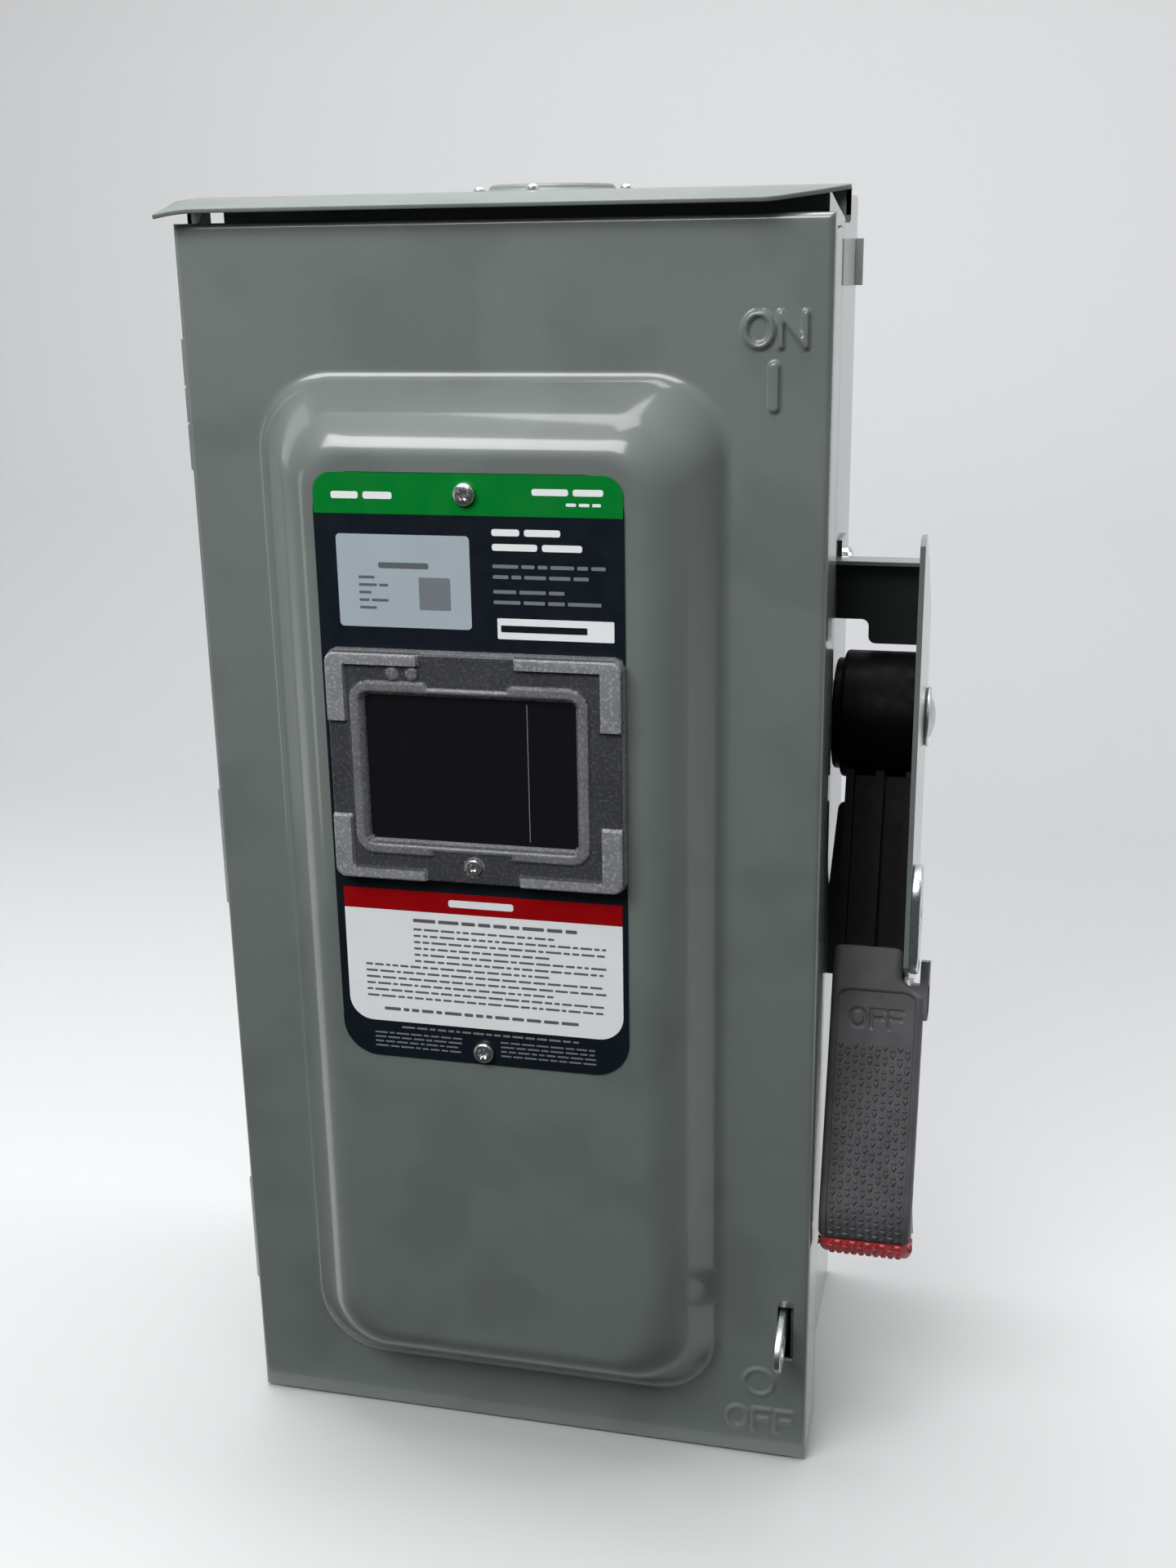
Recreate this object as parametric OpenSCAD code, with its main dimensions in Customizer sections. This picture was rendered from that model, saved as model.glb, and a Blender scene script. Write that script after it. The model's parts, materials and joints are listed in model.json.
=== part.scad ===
// Side-operated AC disconnect: a rainproof sheet-steel safety switch with three poles, no fuses.
// +X is the handle side, -Y the front (door), +Z up. The origin is the centre of the four wall
// holes, on the outer face of the back wall. All lengths are in millimetres.

/* [Enclosure] */
// Outside width of the box
box_w = 206; // [200:1:212]
// Outside height of the box
box_h = 452; // [440:2:470]
// Depth from the back wall to the front of the door
case_d = 130; // [124:1:140]
// Steel sheet thickness of the box, the door and the hood
sheet = 1.5; // [1.2:0.1:2]
// Wall hole spacing, across
wall_hole_x = 152.4; // [140:0.1:160]
// Wall hole spacing, up
wall_hole_z = 406.4; // [390:0.1:410]
// Wall hole diameter
wall_hole_d = 8; // [6:0.5:10]

/* [Door] */
// Outside width of the door
door_w = 216; // [214:1:220]
// Height of the door
door_h = 444; // [436:1:450]
// Depth of the flange that wraps the handle side and the top of the box
door_flange = 28.4; // [24:0.2:32]
// Height of the embossed panel above the door
panel_rise = 21; // [14:1:24]
// How far the embossed panel's slopes run
panel_slope = 17; // [14:1:22]

/* [Window and label] */
// Width of the window bezel
bezel_w = 101; // [90:1:103]
// Height of the window bezel
bezel_h = 79.4; // [70:0.2:84]
// Thickness of the window bezel
bezel_t = 6; // [4:0.5:8]
// Width of the label plate
label_w = 103; // [102:1:110]
// Height of the label plate
label_h = 205; // [200:1:212]

/* [Handle] */
// Angle by which the handle leans forward from straight down when OFF
handle_lean = 20; // [14:1:24]
// Distance from the pivot to the end of the grip
handle_reach = 198; // [180:1:200]
// Radius of the handle hub
hub_r = 23.5; // [20:0.5:24]
// Thickness of the grip, front to back
grip_t = 26; // [20:1:26]
// Radius of the bend at the end of the grip
grip_end_r = 20; // [14:1:20]

/* [Switch] */
// Distance from pole to pole
pole_pitch = 44; // [42:1:46]
// Length of a blade from its pivot to its tip
blade_l = 62; // [56:1:64]
// Angle of the open blades from vertical
blade_open = 55; // [50:1:56]
// Thickness of a blade
blade_t = 3.2; // [2.6:0.1:3.4]
// Diameter of a wire hole in a lug
wire_d = 10; // [8:0.5:11]

/* [Hidden] */
$fn = 64;

// Colours
paint = [0.40, 0.44, 0.42];
zinc = [0.78, 0.80, 0.82];
black = [0.13, 0.13, 0.14];
copper = [0.80, 0.52, 0.36];
lug_grey = [0.72, 0.73, 0.74];
moulding = [0.24, 0.22, 0.21];
spring_grey = [0.35, 0.35, 0.37];

// How far a cutter runs past the face it cuts, and the play of a screw in its hole
over = 5;
hole_play = 0.05;

// Box
wall_x = box_w/2;
top_z = box_h/2;
front_y = -case_d;
lip_y = front_y + 3;
lip_w = 10;
lip_h = 8;
step_y = -100;
step_z = top_z - 14;
hub_hole_r = 25;
hub_y = -50;
bush_r = 12;
bush_neck_r = 9.5;
bush_flange_t = 1.3;
bush_in = wall_x - 4.5;
latch_cut_w = 7;
latch_cut_h = 28;
knockout_x = [-55, 0, 55];
knockout_y = -50;
knockout_r = 17.1;
knockout_mid_r = 11.1;
knockout_play = 0.1;

// Door
door_x = door_w/2;
door_bottom = -box_h/2 + 1;
door_top = door_bottom + door_h;
short_flange = 8.5;
hem = 2.2;
relief = 4;
panel_x = -2.75;
panel_z = -14.75;
panel_w = 156.5;
panel_h = 370.5;
panel_r = 25;
panel_y = front_y - panel_rise;

// Window and label
win_x = -4.8;
win_z = 45;
pane_w = 72;
pane_h = 50.2;
pane_t = 2;
pane_rim = 4.6;
bezel_x = -3.3;
bezel_z = 45.3;
bezel_r = 4;
label_x = -4.5;
label_z = 40;
label_t = 0.5;
label_r = 12.5;
label_y = panel_y - label_t;
bezel_y = label_y - bezel_t;
opening_rim = 10;
label_screw_z = [-57.6, 136];
label_screw_r = 1.6;
window_screw_z = 12.3;
window_screw_r = 1.2;
window_sink = 2;

// Slot and latch tab
slot_w = 5.8;
slot_h = 21.8;
slot_x = 99.8;
slot_z = -171.1;
tab_t = 2.4;
tab_x = 98.9;
latch_y = -98;
latch_z = -168;
latch_pin_r = 2.5;
latch_sheet = 1.6;
tab_root_r = 7;
padlock_r = 4.8;
tab_out = 18;

// Hinge
hinge_x = -door_x - 2.5;
hinge_y = front_y + 12;
hinge_r = 3;
hinge_pin_r = 1.5;
hinge_at = [-160, 0, 160];
door_knuckle = 12;
knuckle_gap = 0.4;
leaf_half = 22;
leaf_l = 25;
leaf_t = 1.2;

// Hood
hood_x = wall_x + 7.8;
hood_fold_y = -112;
hood_lip_y = -138;
hood_back_y = -84;
skirt_back_y = -100;
hood_drop = 4;
skirt_bottom = door_top - 3.3;

// Closing plate
plate_r = 29;
plate_t = 1.5;
gasket_t = 1;
dome_r = 22;
dome_h = 2.2;
plate_bolt_r = 26.8;
small_screw_r = 1.2;

// Side clip
side_clip_y = -84;
side_clip_z = 196;
side_clip_h = 15;
side_clip_l = 24;
side_clip_out = 8;
side_clip_t = 1.2;

// Handle
pivot_y = -50;
pivot_z = 43;
hub_in = wall_x + 1.7;
hub_step = 3;
arm_in = door_x + 2.5;
arm_out = door_x + 27;
grip_in = door_x + 2;
grip_out = door_x + 35;
grip_front = 13.5;
grip_start = 85;
grip_bend = handle_reach - grip_end_r;
grip_wall = 4;
grip_hollow_d = 9;
grip_hollow_l = grip_bend - grip_start - 36;
shoulder_l = 30;
tip_angle = 40;
arm_side_t = 3;
arm_l = grip_start - 14;
arm_web = [-5, 3];
arm_side = [-10, 8];
ear_y = [-12, 2];
ear_z = [-grip_start - 37, -grip_start - 4];
ear_in = grip_out - 1.6;
ear_out = grip_out + 1.4;
ear_foot_in = arm_out + 3;
ear_foot_top = -grip_start - 12.5;
rivet_r = 5;
rivet_head_r = 11;
rivet_shank = 18;
rivet_rim = 2.4;
rivet_crown = 1.2;
drive_socket = 9;

// Radial clearance of a bore that a pin turns in, and of one that it is pressed into
run = 0.06;
tight = 0.02;

// Bracket
guard_x = arm_out + 0.6;
guard_t = 1.8;
web_y = -43;
web_t = 1.5;
foot_y = -26;
foot_screw_r = 1.8;
foot_screw_z = [98, -52];
upper_web = [68, 100];
lower_web = [-65, 6];
upper_foot = [78, 106];
lower_foot = [-62, -42];
notch_w = 12;
notch_h = 10;
guard_front = -105;
guard_top = 117;
guard_low = -34;
guard_corner = 82;
lock_t = 3.4;
lock_r = 10;
lock_z = [-8, -28];
lock_hole_y = -98;
lock_hole_z = -16;

// Shaft through the side wall
shaft_r = 7;
journal_r = 6;
frame_x = 64;
frame_t = 2;
frame_foot = 30;
frame_z = [-44, 74];
frame_front = -88;
frame_screw_z = [-34, 62];
drive_lever_x = 85;
drive_lever_t = 3;
drive_lever_l = 24;
drive_lever_r = 8;
drive_boss_r = 13;

// Poles and rotor
poles = [-52, -52 + pole_pitch, -52 + 2*pole_pitch];
base_x0 = -80;
base_x1 = 60;
base_z0 = -112;
base_z1 = 118;
base_front = -28;
base_seat_y = -10;
base_screw_r = 2;
rib_t = 3;
arc_z = 51;
arc_pitch = 5;
arc_t = 1.2;
arc_y = [-84, -54];
shield_z = [48, 116];
shield_y = -96;
shield_t = 2;
shield_screw_r = 1.5;
shield_screw_z = 98;
rotor_y = -60;
rotor_z = -14;
blade_w = 14;
blade_root_r = 8;
blade_pin_r = 3;
clip_gap = blade_t + 0.4;
clip_t = 1.5;
clip_front = -68;
strap_t = 2;
strap_w = 14;
bar_at = 34;
bar_l = 12;
bar_w = 15;
bar_fwd = 11;
crank_x = 60.5;
crank_t = 2.5;
crank_w = 16;
crank_pin_r = 4;
lug_w = 22;
lug_d = 20;
lug_h = 24;
line_lug_z = 82;
load_lug_z = -106;
wire_y = base_front - strap_t - 9.5;
lug_screw_r = 3;

// Ground lug
ground_x = -86;
ground_z = -172;
ground_w = 18;
ground_h = 32;
ground_block = 15;
ground_front = -19;
ground_wire_y = -11;
ground_wire_r = 3.6;
ground_screw_r = 2.5;

// Interlock
lock_pin_y = -72;
lock_pin_z = 95;
lock_pin_r = 3;
lever_x = 82;
lever_t = 2.5;
lever_l = 39;
lever_droop = 14;
catch_x = 76;
catch_w = 14;
catch_y = -112;
catch_t = 1.5;
catch_z = [72, 80];
catch_foot_z = [70, 90];

// ---- helpers -------------------------------------------------------------------------------

// A box from its low corner to its high corner.
module block(lo, hi) translate(lo) cube(hi - lo);

// A cylinder along +X, from x0 to x1.
module rod_x(r, x0, x1) translate([x0, 0, 0]) rotate([0, 90, 0]) cylinder(r = r, h = x1 - x0);

// A cylinder along +Y, from y0 to y1.
module rod_y(r, y0, y1) translate([0, y0, 0]) rotate([-90, 0, 0]) cylinder(r = r, h = y1 - y0);

// A rectangle with round corners, centred.
module round_rect(w, h, r) {
    square([w - 2*r, h], center = true);
    square([w, h - 2*r], center = true);
    for (sx = [-1, 1], sz = [-1, 1]) translate([sx*(w/2 - r), sz*(h/2 - r)]) circle(r);
}

// A rounded plate in the XZ plane, from y0 to y1, centred on [x, z].
module front_plate(x, z, w, h, r, y0, y1)
    translate([x, y1, z]) rotate([90, 0, 0]) linear_extrude(y1 - y0) round_rect(w, h, r);

// An outline drawn as [y, z], extruded along +X from x0 to x1.
module side_plate(x0, x1)
    translate([x0, 0, 0]) rotate([90, 0, 90]) linear_extrude(x1 - x0) children();

// A pan-head screw along -Z: head above the origin, shank below it, with a slot.
module screw(r, l, head_r, head_h) difference() {
    union() {
        translate([0, 0, -l]) cylinder(r = r, h = l);
        cylinder(r = head_r, h = 0.6*head_h);
        translate([0, 0, 0.6*head_h - 0.01]) cylinder(r1 = head_r, r2 = 0.7*head_r, h = 0.4*head_h);
    }
    for (a = [0, 90]) rotate(a)
        translate([-0.5*head_r, -0.12*head_r, 0.45*head_h]) cube([head_r, 0.24*head_r, head_h]);
}

// Screws whose heads face -Y (front), +X (handle side) or up.
module screw_front(r, l, head_r, head_h) rotate([90, 0, 0]) screw(r, l, head_r, head_h);
module screw_side(r, l, head_r, head_h) rotate([0, 90, 0]) screw(r, l, head_r, head_h);

// The handle's axis, the rotor's axis and the interlock lever's axis.
module at_pivot() translate([0, pivot_y, pivot_z]) children();
module at_rotor_axis() translate([0, rotor_y, rotor_z]) children();
module at_interlock() translate([0, lock_pin_y, lock_pin_z]) children();

// The handle's own frame: origin on the pivot, -Z along the arm, -Y to its front.
module at_handle() at_pivot() rotate([-handle_lean, 0, 0]) children();

// The rotor's own frame with the blades open: origin on the blade pivot, +Z along the blade.
module at_rotor() at_rotor_axis() rotate([blade_open, 0, 0]) children();

// The four wall holes.
module at_wall_holes() for (sx = [-1, 1], sz = [-1, 1])
    translate([sx*wall_hole_x/2, 0, sz*wall_hole_z/2]) children();

// ---- enclosure -----------------------------------------------------------------------------

// Outline of the box in the YZ plane: the front is lower, so that the door wraps over it.
module box_outline(inset) polygon([
    [-inset, -box_h/2 + inset], [lip_y + inset, -box_h/2 + inset], [lip_y + inset, step_z - inset],
    [step_y + inset, step_z - inset], [step_y + inset, top_z - inset], [-inset, top_z - inset]]);

module knockouts() for (x = knockout_x) translate([x, knockout_y, 0]) children();

module enclosure_box() color(paint) difference() {
    side_plate(-wall_x, wall_x) box_outline(0);
    side_plate(-wall_x + sheet, wall_x - sheet) box_outline(sheet);
    block([-wall_x + lip_w, lip_y - 1, -box_h/2 + lip_w], [wall_x - lip_w, lip_y + 2, step_z - lip_h]);
    block([slot_x - latch_cut_w/2, lip_y - 1, slot_z - latch_cut_h/2],
        [wall_x - sheet, lip_y + 2, slot_z + latch_cut_h/2]);
    at_wall_holes() rod_y(wall_hole_d/2, -over, over);
    translate([0, hub_y, top_z - over]) cylinder(r = hub_hole_r, h = 2*over);
    at_plate_bolts() translate([0, 0, top_z - over]) cylinder(r = small_screw_r + 2*hole_play, h = 2*over);
    at_pivot() rod_x(bush_neck_r + hole_play, wall_x - over, wall_x + over);
    at_feet() rod_x(foot_screw_r + hole_play, wall_x - over, wall_x + over);
    at_interlock() rod_x(lock_pin_r + tight, wall_x - over, wall_x + over);
    knockouts() translate([0, 0, -box_h/2 - 1]) cylinder(r = knockout_r, h = over);
    at_base_screws() rod_y(base_screw_r + hole_play, -over, over);
    at_mechanism_screws() rod_y(base_screw_r + hole_play, -over, over);
    at_ground_screw() rod_y(ground_screw_r + hole_play, -over, over);
}

// One folded sheet: a flat on top of the box, a visor that slopes over the door, and side skirts.
module drip_hood() color([0.62, 0.66, 0.64]) {
    difference() {
        side_plate(-hood_x, hood_x) polygon([
            [hood_back_y, top_z], [hood_fold_y, top_z], [hood_lip_y, top_z - hood_drop],
            [hood_lip_y, top_z - hood_drop + sheet], [hood_fold_y, top_z + sheet],
            [hood_back_y, top_z + sheet]]);
        translate([hood_x, hood_lip_y, top_z - 10]) rotate([0, 0, 15])
            block([-3, -20, 0], [20, 20, 20]);
    }
    for (s = [-1, 1]) translate([s*(hood_x - sheet/2), 0, 0]) side_plate(-sheet/2, sheet/2)
        polygon([[skirt_back_y, skirt_bottom], [hood_fold_y, skirt_bottom + 1],
            [hood_fold_y, top_z + 0.5], [skirt_back_y, top_z + 0.5]]);
}

module at_plate_bolts() translate([0, hub_y, 0]) for (a = [0:90:270]) rotate(a)
    translate([plate_bolt_r, 0, 0]) children();

module hub_gasket() color(black) translate([0, hub_y, top_z]) difference() {
    cylinder(r = plate_r - 0.4, h = gasket_t);
    translate([0, 0, -1]) cylinder(r = hub_hole_r - 0.6, h = gasket_t + 2);
    for (a = [0:90:270]) rotate(a) translate([plate_bolt_r, 0, -1])
        cylinder(r = small_screw_r + 2*hole_play, h = over);
}

module hub_closing_plate() color([0.72, 0.75, 0.73]) difference() {
    translate([0, hub_y, top_z + gasket_t]) {
        cylinder(r = plate_r, h = plate_t);
        translate([0, 0, plate_t - 0.01]) cylinder(r1 = dome_r, r2 = dome_r - 2, h = dome_h);
    }
    at_plate_bolts() translate([0, 0, top_z]) cylinder(r = small_screw_r + 2*hole_play, h = 2*over);
}

module closing_plate_screws() color(zinc) at_plate_bolts()
    translate([0, 0, top_z + gasket_t + plate_t]) screw(small_screw_r, 8, 2.1, 1.8);

// Small bent clip on the handle side near the top, which keys the hood.
module side_clip() color(paint) translate([wall_x, side_clip_y, side_clip_z]) {
    cube([side_clip_t, side_clip_l, side_clip_h]);
    translate([side_clip_t, side_clip_l - 4, 0])
        cube([side_clip_out - side_clip_t, side_clip_t, side_clip_h]);
}

// Each knockout is a ring round a smaller slug.
module knockout_slugs() color(paint) knockouts() translate([0, 0, -box_h/2]) {
    difference() {
        cylinder(r = knockout_r - knockout_play, h = sheet);
        translate([0, 0, -1]) cylinder(r = knockout_mid_r + knockout_play, h = over);
    }
    cylinder(r = knockout_mid_r, h = sheet);
}

// ---- door hinge ----------------------------------------------------------------------------

// Leaves on the box, each with two knuckles that the door's own knuckle sits between.
module hinge_leaves() color(paint) {
    gap = door_knuckle/2 + knuckle_gap;
    h = leaf_half - gap;
    for (z = hinge_at) translate([0, 0, z]) {
        difference() {
            block([-wall_x - leaf_t, hinge_y - 1, -leaf_half], [-wall_x, hinge_y + leaf_l, leaf_half]);
            block([-wall_x - over, hinge_y - over, -gap], [-wall_x + 1, hinge_y + 2*hinge_r, gap]);
        }
        for (s = [-1, 1]) translate([0, 0, s*(gap + h/2)]) difference() {
            union() {
                translate([hinge_x, hinge_y, -h/2]) cylinder(r = hinge_r, h = h);
                block([hinge_x, hinge_y + hinge_r - leaf_t, -h/2], [-wall_x, hinge_y + hinge_r, h/2]);
            }
            translate([hinge_x, hinge_y, -h]) cylinder(r = hinge_pin_r + 0.01, h = 2*h);
        }
    }
}

module hinge_pins() color(zinc) for (z = hinge_at) translate([hinge_x, hinge_y, z - leaf_half - 1])
    cylinder(r = hinge_pin_r, h = 2*leaf_half + 2);

// ---- handle bracket ------------------------------------------------------------------------

// Holes of the bracket's two feet on the side wall.
module at_feet() for (z = foot_screw_z) translate([0, foot_y - 8, z]) children();

module at_padlock_hole() translate([0, lock_hole_y, lock_hole_z]) children();

// Side view of the guard plate: its front edge is upright and its back edge meets the webs.
module guard_outline() polygon([
    [guard_front, guard_low], [guard_front, guard_top - 2], [guard_front + 4, guard_top],
    [guard_front + 11, guard_top], [web_y + web_t, guard_corner], [web_y + web_t, lower_web[0]],
    [web_y - 7, lower_web[0]], [web_y - 17, lower_web[0] + 8], [guard_front + 9, guard_low - 7]]);

// One bent sheet: the guard plate outside the handle, two webs to the box and their two feet.
module handle_bracket() color([0.55, 0.58, 0.56]) difference() {
    union() {
        side_plate(guard_x, guard_x + guard_t) guard_outline();
        for (web = [upper_web, lower_web])
            block([wall_x, web_y, web[0]], [guard_x + 0.5, web_y + web_t, web[1]]);
        block([wall_x, web_y - 9, upper_web[1] - web_t], [guard_x + 0.5, web_y + 0.1, upper_web[1]]);
        for (foot = [upper_foot, lower_foot])
            block([wall_x, web_y, foot[0]], [wall_x + web_t, foot_y, foot[1]]);
    }
    block([wall_x - 1, web_y - 1, upper_web[0] - 1],
        [wall_x + notch_w, web_y + web_t + 0.1, upper_web[0] + notch_h - 1]);
    translate([wall_x - 1, web_y + web_t + 0.1, lower_web[1] + 1]) rotate([90, 0, 0])
        linear_extrude(web_t + 1) polygon([[0, 0], [4, 0], [1, -35], [0, -35]]);
    at_feet() rod_x(foot_screw_r + hole_play, wall_x - 1, wall_x + over);
    at_pivot() rod_x(rivet_r + tight, guard_x - 1, guard_x + over);
    at_padlock_hole() rod_x(padlock_r, guard_x - 1, guard_x + over);
}

module bracket_screws() color(zinc) at_feet()
    translate([wall_x + web_t, 0, 0]) screw_side(foot_screw_r, 8, 4.4, 3);

// Rivet through the guard plate: its shank is the outer bearing of the handle hub.
module pivot_rivet() color(lug_grey) at_pivot() {
    rod_x(rivet_r, guard_x - rivet_shank, guard_x + guard_t);
    translate([guard_x + guard_t, 0, 0]) rotate([0, 90, 0]) {
        cylinder(r = rivet_head_r, h = rivet_rim);
        translate([0, 0, rivet_rim - 0.01])
            cylinder(r1 = rivet_head_r, r2 = 0.75*rivet_head_r, h = rivet_crown);
    }
}

module lock_plate() color(zinc) difference() {
    side_plate(guard_x + guard_t, guard_x + guard_t + lock_t) {
        for (z = lock_z) translate([lock_hole_y, z]) circle(lock_r);
        translate([lock_hole_y - lock_r, lock_z[1]]) square([2*lock_r, lock_z[0] - lock_z[1]]);
    }
    at_padlock_hole() rod_x(padlock_r, guard_x, guard_x + 2*over);
}

// Flanged bush that snaps into the side wall.
module shaft_bushing() color([0.85, 0.84, 0.80]) at_pivot() difference() {
    union() {
        rod_x(bush_r, wall_x, wall_x + bush_flange_t);
        rod_x(bush_neck_r, bush_in, wall_x + 0.1);
        rod_x(bush_r - 0.5, bush_in, wall_x - sheet);
    }
    rod_x(shaft_r + run, bush_in - over, wall_x + over);
}

// ---- handle --------------------------------------------------------------------------------

// Hub with a blind bore for the rivet outside and a socket for the drive shaft inside.
module handle_hub() color(black) at_pivot() difference() {
    union() {
        rod_x(hub_r, hub_in + hub_step, arm_out);
        rod_x(hub_r - hub_step, hub_in, hub_in + hub_step + 0.1);
    }
    rod_x(rivet_r + run, guard_x - rivet_shank - 1, guard_x);
    rod_x(shaft_r + tight, hub_in - 1, hub_in + drive_socket);
}

// Side outline of the grip in the handle's frame, as [y, z], from the bend outwards when
// part is "tip", inwards when it is "body".
module grip_side(part) {
    cut = -grip_bend - grip_end_r*sin(tip_angle);
    back = grip_end_r - grip_front;
    intersection() {
        union() {
            translate([-grip_front, -grip_bend]) square([grip_t, grip_bend - grip_start]);
            intersection() {
                translate([back, -grip_bend]) circle(grip_end_r);
                translate([-grip_front, -handle_reach]) square([grip_t, grip_end_r + 0.1]);
            }
        }
        if (part == "tip") translate([-50, -handle_reach - 1]) square([100, cut + handle_reach + 1]);
        else translate([-50, cut + 0.02]) square([100, handle_reach]);
    }
}

// The shoulder on the outer side, where the grip widens past the guard plate.
module shoulder_cut() translate([0, 50, 0]) rotate([90, 0, 0]) linear_extrude(100)
    polygon([[arm_out, -grip_start + shoulder_l], [arm_out, -grip_start - 17],
        [grip_out, -grip_start - shoulder_l], [grip_out + 20, -grip_start - shoulder_l],
        [grip_out + 20, -grip_start + shoulder_l]]);

module arm_piece(x0, x1, across)
    block([x0, across[0], -grip_start - 1], [x1, across[1], -grip_start - 1 + arm_l]);

module handle_grip() color(black) difference() {
    at_handle() {
        difference() {
            side_plate(grip_in, grip_out) grip_side("body");
            shoulder_cut();
            side_plate(grip_in + grip_wall, grip_out - grip_wall)
                translate([grip_t - grip_front - grip_hollow_d, -grip_bend])
                    square([grip_hollow_d + 1, grip_hollow_l]);
        }
        // arm: a web with two side walls and a centre rib
        arm_piece(arm_in, arm_out, arm_web);
        for (x = [arm_in, (arm_in + arm_out - arm_side_t)/2, arm_out - arm_side_t])
            arm_piece(x, x + arm_side_t, arm_side);
        // ear outside the lock plate, on a foot that passes below it
        block([ear_in, ear_y[0], ear_z[0]], [ear_out, ear_y[1], ear_z[1]]);
        block([ear_foot_in, ear_y[0], ear_z[0]], [ear_out, ear_y[1], ear_foot_top]);
    }
    at_pivot() rod_x(hub_r + tight, arm_in - over, arm_out + over);
}

module handle_tip() color([0.75, 0.16, 0.17]) at_handle()
    side_plate(grip_in, grip_out) grip_side("tip");

module drive_shaft() color(zinc) at_pivot() {
    rod_x(shaft_r, frame_x + frame_t + 0.5, hub_in + drive_socket);
    rod_x(journal_r, frame_x - 3, frame_x + frame_t + 0.6);
}

module drive_lever() color(zinc) at_pivot() side_plate(drive_lever_x, drive_lever_x + drive_lever_t)
    difference() {
        union() {
            circle(drive_boss_r);
            rotate(-60) {
                translate([0, -drive_lever_r]) square([drive_lever_l, 2*drive_lever_r]);
                translate([drive_lever_l, 0]) circle(drive_lever_r);
            }
        }
        circle(shaft_r + tight);
    }

// A spring as closed turns of wire around an X axis.
module spring_turns(turns, pitch, r, wire_r) for (i = [0:turns - 1])
    translate([pitch*i, 0, 0]) rotate([0, 90, 0]) rotate_extrude() translate([r, 0]) circle(wire_r, $fn = 20);

module drive_spring() color(spring_grey) at_pivot() translate([frame_x + 6, 0, 0])
    spring_turns(6, 2.5, 8.6, 1.2);

// ---- switch --------------------------------------------------------------------------------

module at_base_screws() for (x = [base_x0 + 6, base_x1 - 6], z = [base_z0 + 7, base_z1 - 7])
    translate([x, 0, z]) children();

module switch_base() color(moulding) difference() {
    union() {
        block([base_x0, base_front, base_z0], [base_x1, -sheet, base_z1]);
        for (i = [0:3]) translate([poles[0] - pole_pitch/2 + i*pole_pitch, 0, 0]) {
            block([-rib_t/2, -50, -64], [rib_t/2, base_front + 1, 40]);
            block([-rib_t/2, -86, arc_z - 1], [rib_t/2, base_front + 1, 112]);
        }
    }
    at_base_screws() {
        rod_y(base_screw_r + hole_play, base_front - over, over);
        rod_y(7, base_front - over, base_seat_y);
    }
}

module base_screws() color(zinc) at_base_screws() translate([0, base_seat_y, 0])
    screw_front(base_screw_r, 9.5, 4.5, 3);

// A lug block with its wire hole, a screw hole in front and a fixing screw hole behind.
module lug(x, z) translate([x, 0, z]) difference() {
    block([-lug_w/2, base_front - strap_t - lug_d, 0], [lug_w/2, base_front - strap_t, lug_h]);
    translate([0, wire_y, -1]) cylinder(r = wire_d/2, h = lug_h + 2);
    translate([0, 0, lug_h/2]) rod_y(lug_screw_r + 0.02, base_front - 40, wire_y);
}

module lug_screw(x, z) translate([x, 0, z + lug_h/2]) difference() {
    rod_y(lug_screw_r, base_front - strap_t - lug_d - 3, wire_y - wire_d/2 - 0.3);
    rotate([90, 0, 0]) translate([0, 0, -base_front + strap_t + lug_d - 1])
        cylinder(r = 1.8, h = 5, $fn = 6);
}

module line_lugs() color(lug_grey) for (x = poles) lug(x, line_lug_z);
module load_lugs() color(lug_grey) for (x = poles) lug(x, load_lug_z);
module line_lug_screws() color(zinc) for (x = poles) lug_screw(x, line_lug_z);
module load_lug_screws() color(zinc) for (x = poles) lug_screw(x, load_lug_z);

// A copper strap on the base with a two-leaf clip on it.
module contact(x, strap_lo, strap_hi, clip_lo, clip_hi) translate([x, 0, 0]) {
    block([-strap_w/2, base_front - strap_t, strap_lo], [strap_w/2, base_front, strap_hi]);
    for (s = [0, 1]) mirror([s, 0, 0]) block([clip_gap/2, clip_front, clip_lo],
        [clip_gap/2 + clip_t, base_front - strap_t + 0.1, clip_hi]);
}

module line_jaws() color(copper) for (x = poles)
    contact(x, 26, line_lug_z + lug_h, 30, 46);

module load_hinge_clips() color(copper) difference() {
    for (x = poles) contact(x, load_lug_z, rotor_z + 12, rotor_z - 9, rotor_z + 9);
    at_rotor_axis() rod_x(blade_pin_r + run, base_x0, base_x1);
}

// Steel plates that split the arc, notched where the blade passes.
module arc_grids() color([0.55, 0.56, 0.57]) for (x = poles, i = [0:3]) difference() {
    block([x - (pole_pitch - rib_t)/2, arc_y[0], arc_z + arc_pitch*i],
        [x + (pole_pitch - rib_t)/2, arc_y[1], arc_z + arc_pitch*i + arc_t]);
    block([x - 4, arc_y[1] - 6, arc_z - 1], [x + 4, arc_y[1] + 4, arc_z + 4*arc_pitch + over]);
}

// Between a line lug and the rib beside it, on the two outer poles.
module at_shield_screws() {
    aside = (pole_pitch - rib_t)/4 + lug_w/4;
    for (x = [poles[0] - aside, poles[2] + aside]) translate([x, 0, shield_screw_z]) children();
}

module line_shield() color([0.75, 0.80, 0.82, 0.5]) difference() {
    union() {
        block([base_x0, shield_y, shield_z[0]], [base_x1, shield_y + shield_t, shield_z[1]]);
        at_shield_screws() rod_y(4, shield_y + shield_t/2, base_front);
    }
    at_shield_screws() rod_y(shield_screw_r + 2*hole_play, shield_y - over, base_front - 20);
}

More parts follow.
